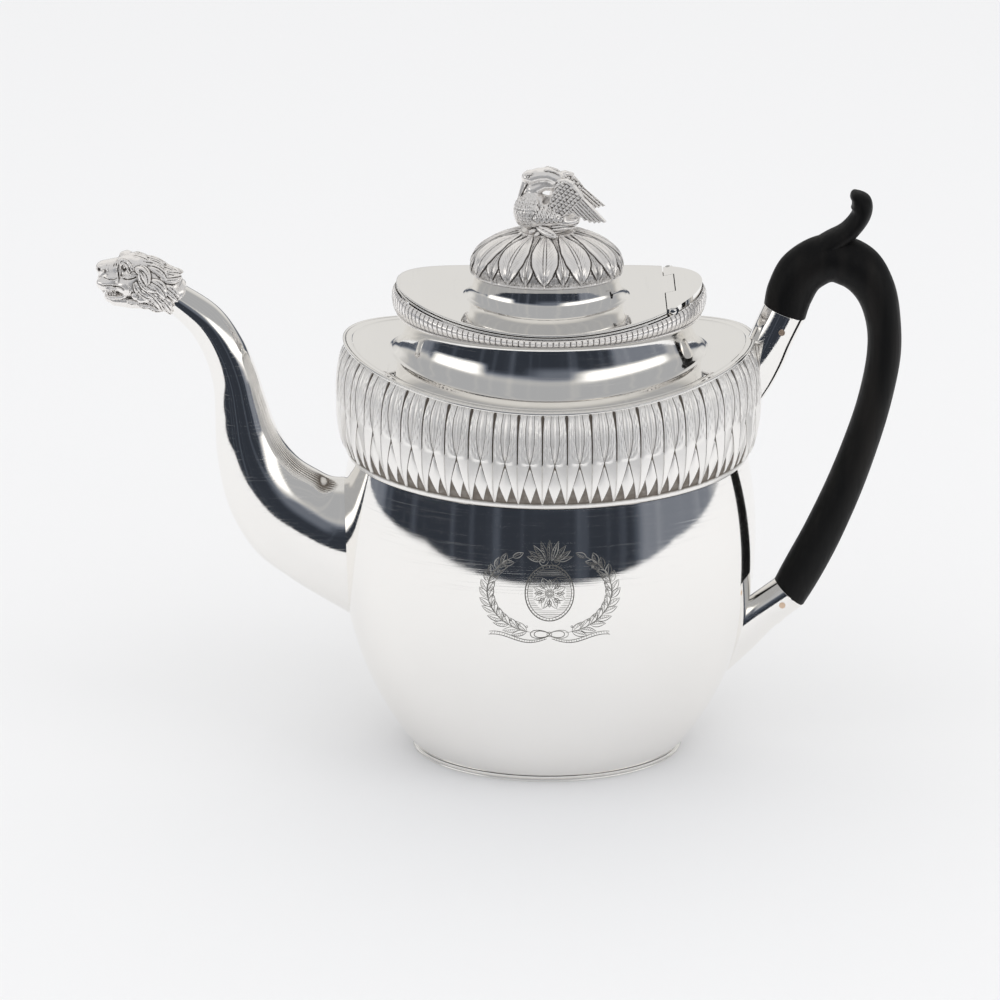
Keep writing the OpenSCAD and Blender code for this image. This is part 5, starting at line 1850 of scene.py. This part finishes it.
lower_rings = [
    trimmed_tube(lower_socket_path, outside_belly, 3, 96, thinner)[0] for thinner in (5.4, 4, 2.5, 1.2, 0.4)
]
lower_rings += trimmed_tube(lower_socket_path, outside_belly, 60, 96)[:-1]
lower_socket = closed_mesh("lower_socket", lower_rings + socket_end(lower_socket_path), loop=False)
finish(lower_socket, "pot", "polished_silver", polished, "lower_socket")

# ---- Handle ----------------------------------------------------------------------------
# One piece of black stained wood, carved round and rubbed smooth, with a thumb scroll on its
# top. Its two tenons are held in the sockets by silver pins.
grip_path = np.array([
    # x, z, half height, half width, heading in degrees
    (89.8, 181.2, 8.5, 7.2, 69), (91.6, 188.5, 9, 7.4, 66), (96.2, 197, 9.4, 7.6, 47),
    (106, 202.2, 9.4, 7.7, 8), (117, 198.6, 9.2, 7.7, -38), (124.2, 189, 7.7, 7.6, -63),
    (127.6, 176, 6.6, 7.5, -82), (127.98, 162, 6.5, 7.4, -94), (125, 144, 6.5, 7.3, -104),
    (120.4, 127, 6.8, 7.2, -109), (114.4, 109, 7.2, 7.1, -111), (107, 90.6, 7.6, 7, -114),
    (100.6, 77, 7.8, 6.9, -118), (94.4, 64.9, 7.7, 6.8, -133),
])
scroll_path = np.array([
    (98, 202, 5.5, 6.6, 30), (106, 208, 4.6, 6.6, 26), (113, 213, 3.8, 6.4, 46), (117.6, 219.4, 3.7, 6, 72),
    (117.4, 224.4, 4.1, 5.6, 118), (114.6, 227.2, 2, 4.6, 158),
])


def tenon(station, direction):
    """Rings of a tenon that runs from a station into its socket, its end first."""
    ahead = pointing(station) * direction
    inside = socket_wall + 0.15
    shoulder = 0.06
    rings = []
    for thinner, into in (
        (inside + 0.6, tenon_len - 0.3), (inside, tenon_len - 0.9), (inside, 6), (inside, 0.5),
        (inside, -shoulder), (0.5, -shoulder), (0.2, -shoulder - 0.05), (0.05, -shoulder - 0.2),
    ):
        rings.append(tube_points(station, turn, thinner) + ahead * into)
    return rings


grip_rings = [tube_points(s, turn) for s in smooth_path(grip_path, np.linspace(0.05, 12.96, 200))]
handle_grip = closed_mesh(
    "handle_grip", tenon(grip_path[0], -1) + grip_rings + tenon(grip_path[-1], 1)[::-1], loop=False
)
scroll_rings = [tube_points(s, turn) for s in smooth_path(scroll_path, np.linspace(0, 5, 70))]
last = scroll_rings[-1]
end = last.mean(0)
for part, out in ((0.86, 0.5), (0.62, 0.9), (0.3, 1.15)):
    scroll_rings.append(end + (last - end) * part + pointing(scroll_path[-1]) * out)
scroll = closed_mesh("scroll", scroll_rings, loop=False)
combine(handle_grip, "UNION", scroll, sharp=35)

# Black wood: straight grain along the long leg of the handle, with open pores and browner streaks
ebony, tree, shader = new_material("ebony")
place = add(tree, "ShaderNodeTexCoord").outputs["Object"]
leg_slope = (0, -0.3, 0)
pore_scale, streak_scale = (900, 900, 45), (120, 120, 9)
along = result(tree, "ShaderNodeMapping", {"Vector": place, "Rotation": leg_slope, "Scale": pore_scale})
pores = remap(tree, noise(tree, along, 1.0, 4.0), 0.35, 0.7)
broad = result(tree, "ShaderNodeMapping", {"Vector": place, "Rotation": leg_slope, "Scale": streak_scale})
streaks = remap(tree, noise(tree, broad, 1.0, 3.0), 0.45, 0.7)
black, brown = (0.0025, 0.0025, 0.0027, 1), (0.009, 0.0078, 0.007, 1)
rough = remap(tree, pores, 0.0, 1.0, 0.42, 0.58)
paint(tree, shader, blend(tree, streaks, black, brown), rough, pores, 0.02)
shader.inputs["Specular IOR Level"].default_value = 0.2
finish(handle_grip, "pot", "ebony", ebony, "handle_grip")

# Each pin goes right through socket and tenon and is filed off flush
pin_silver = silver("pin_silver", (0.86, 0.66, 0.50, 1), 0.25, 0.32, 0.004)
coat_kept(pin_silver, "upper_socket_pin", "lower_socket_pin")
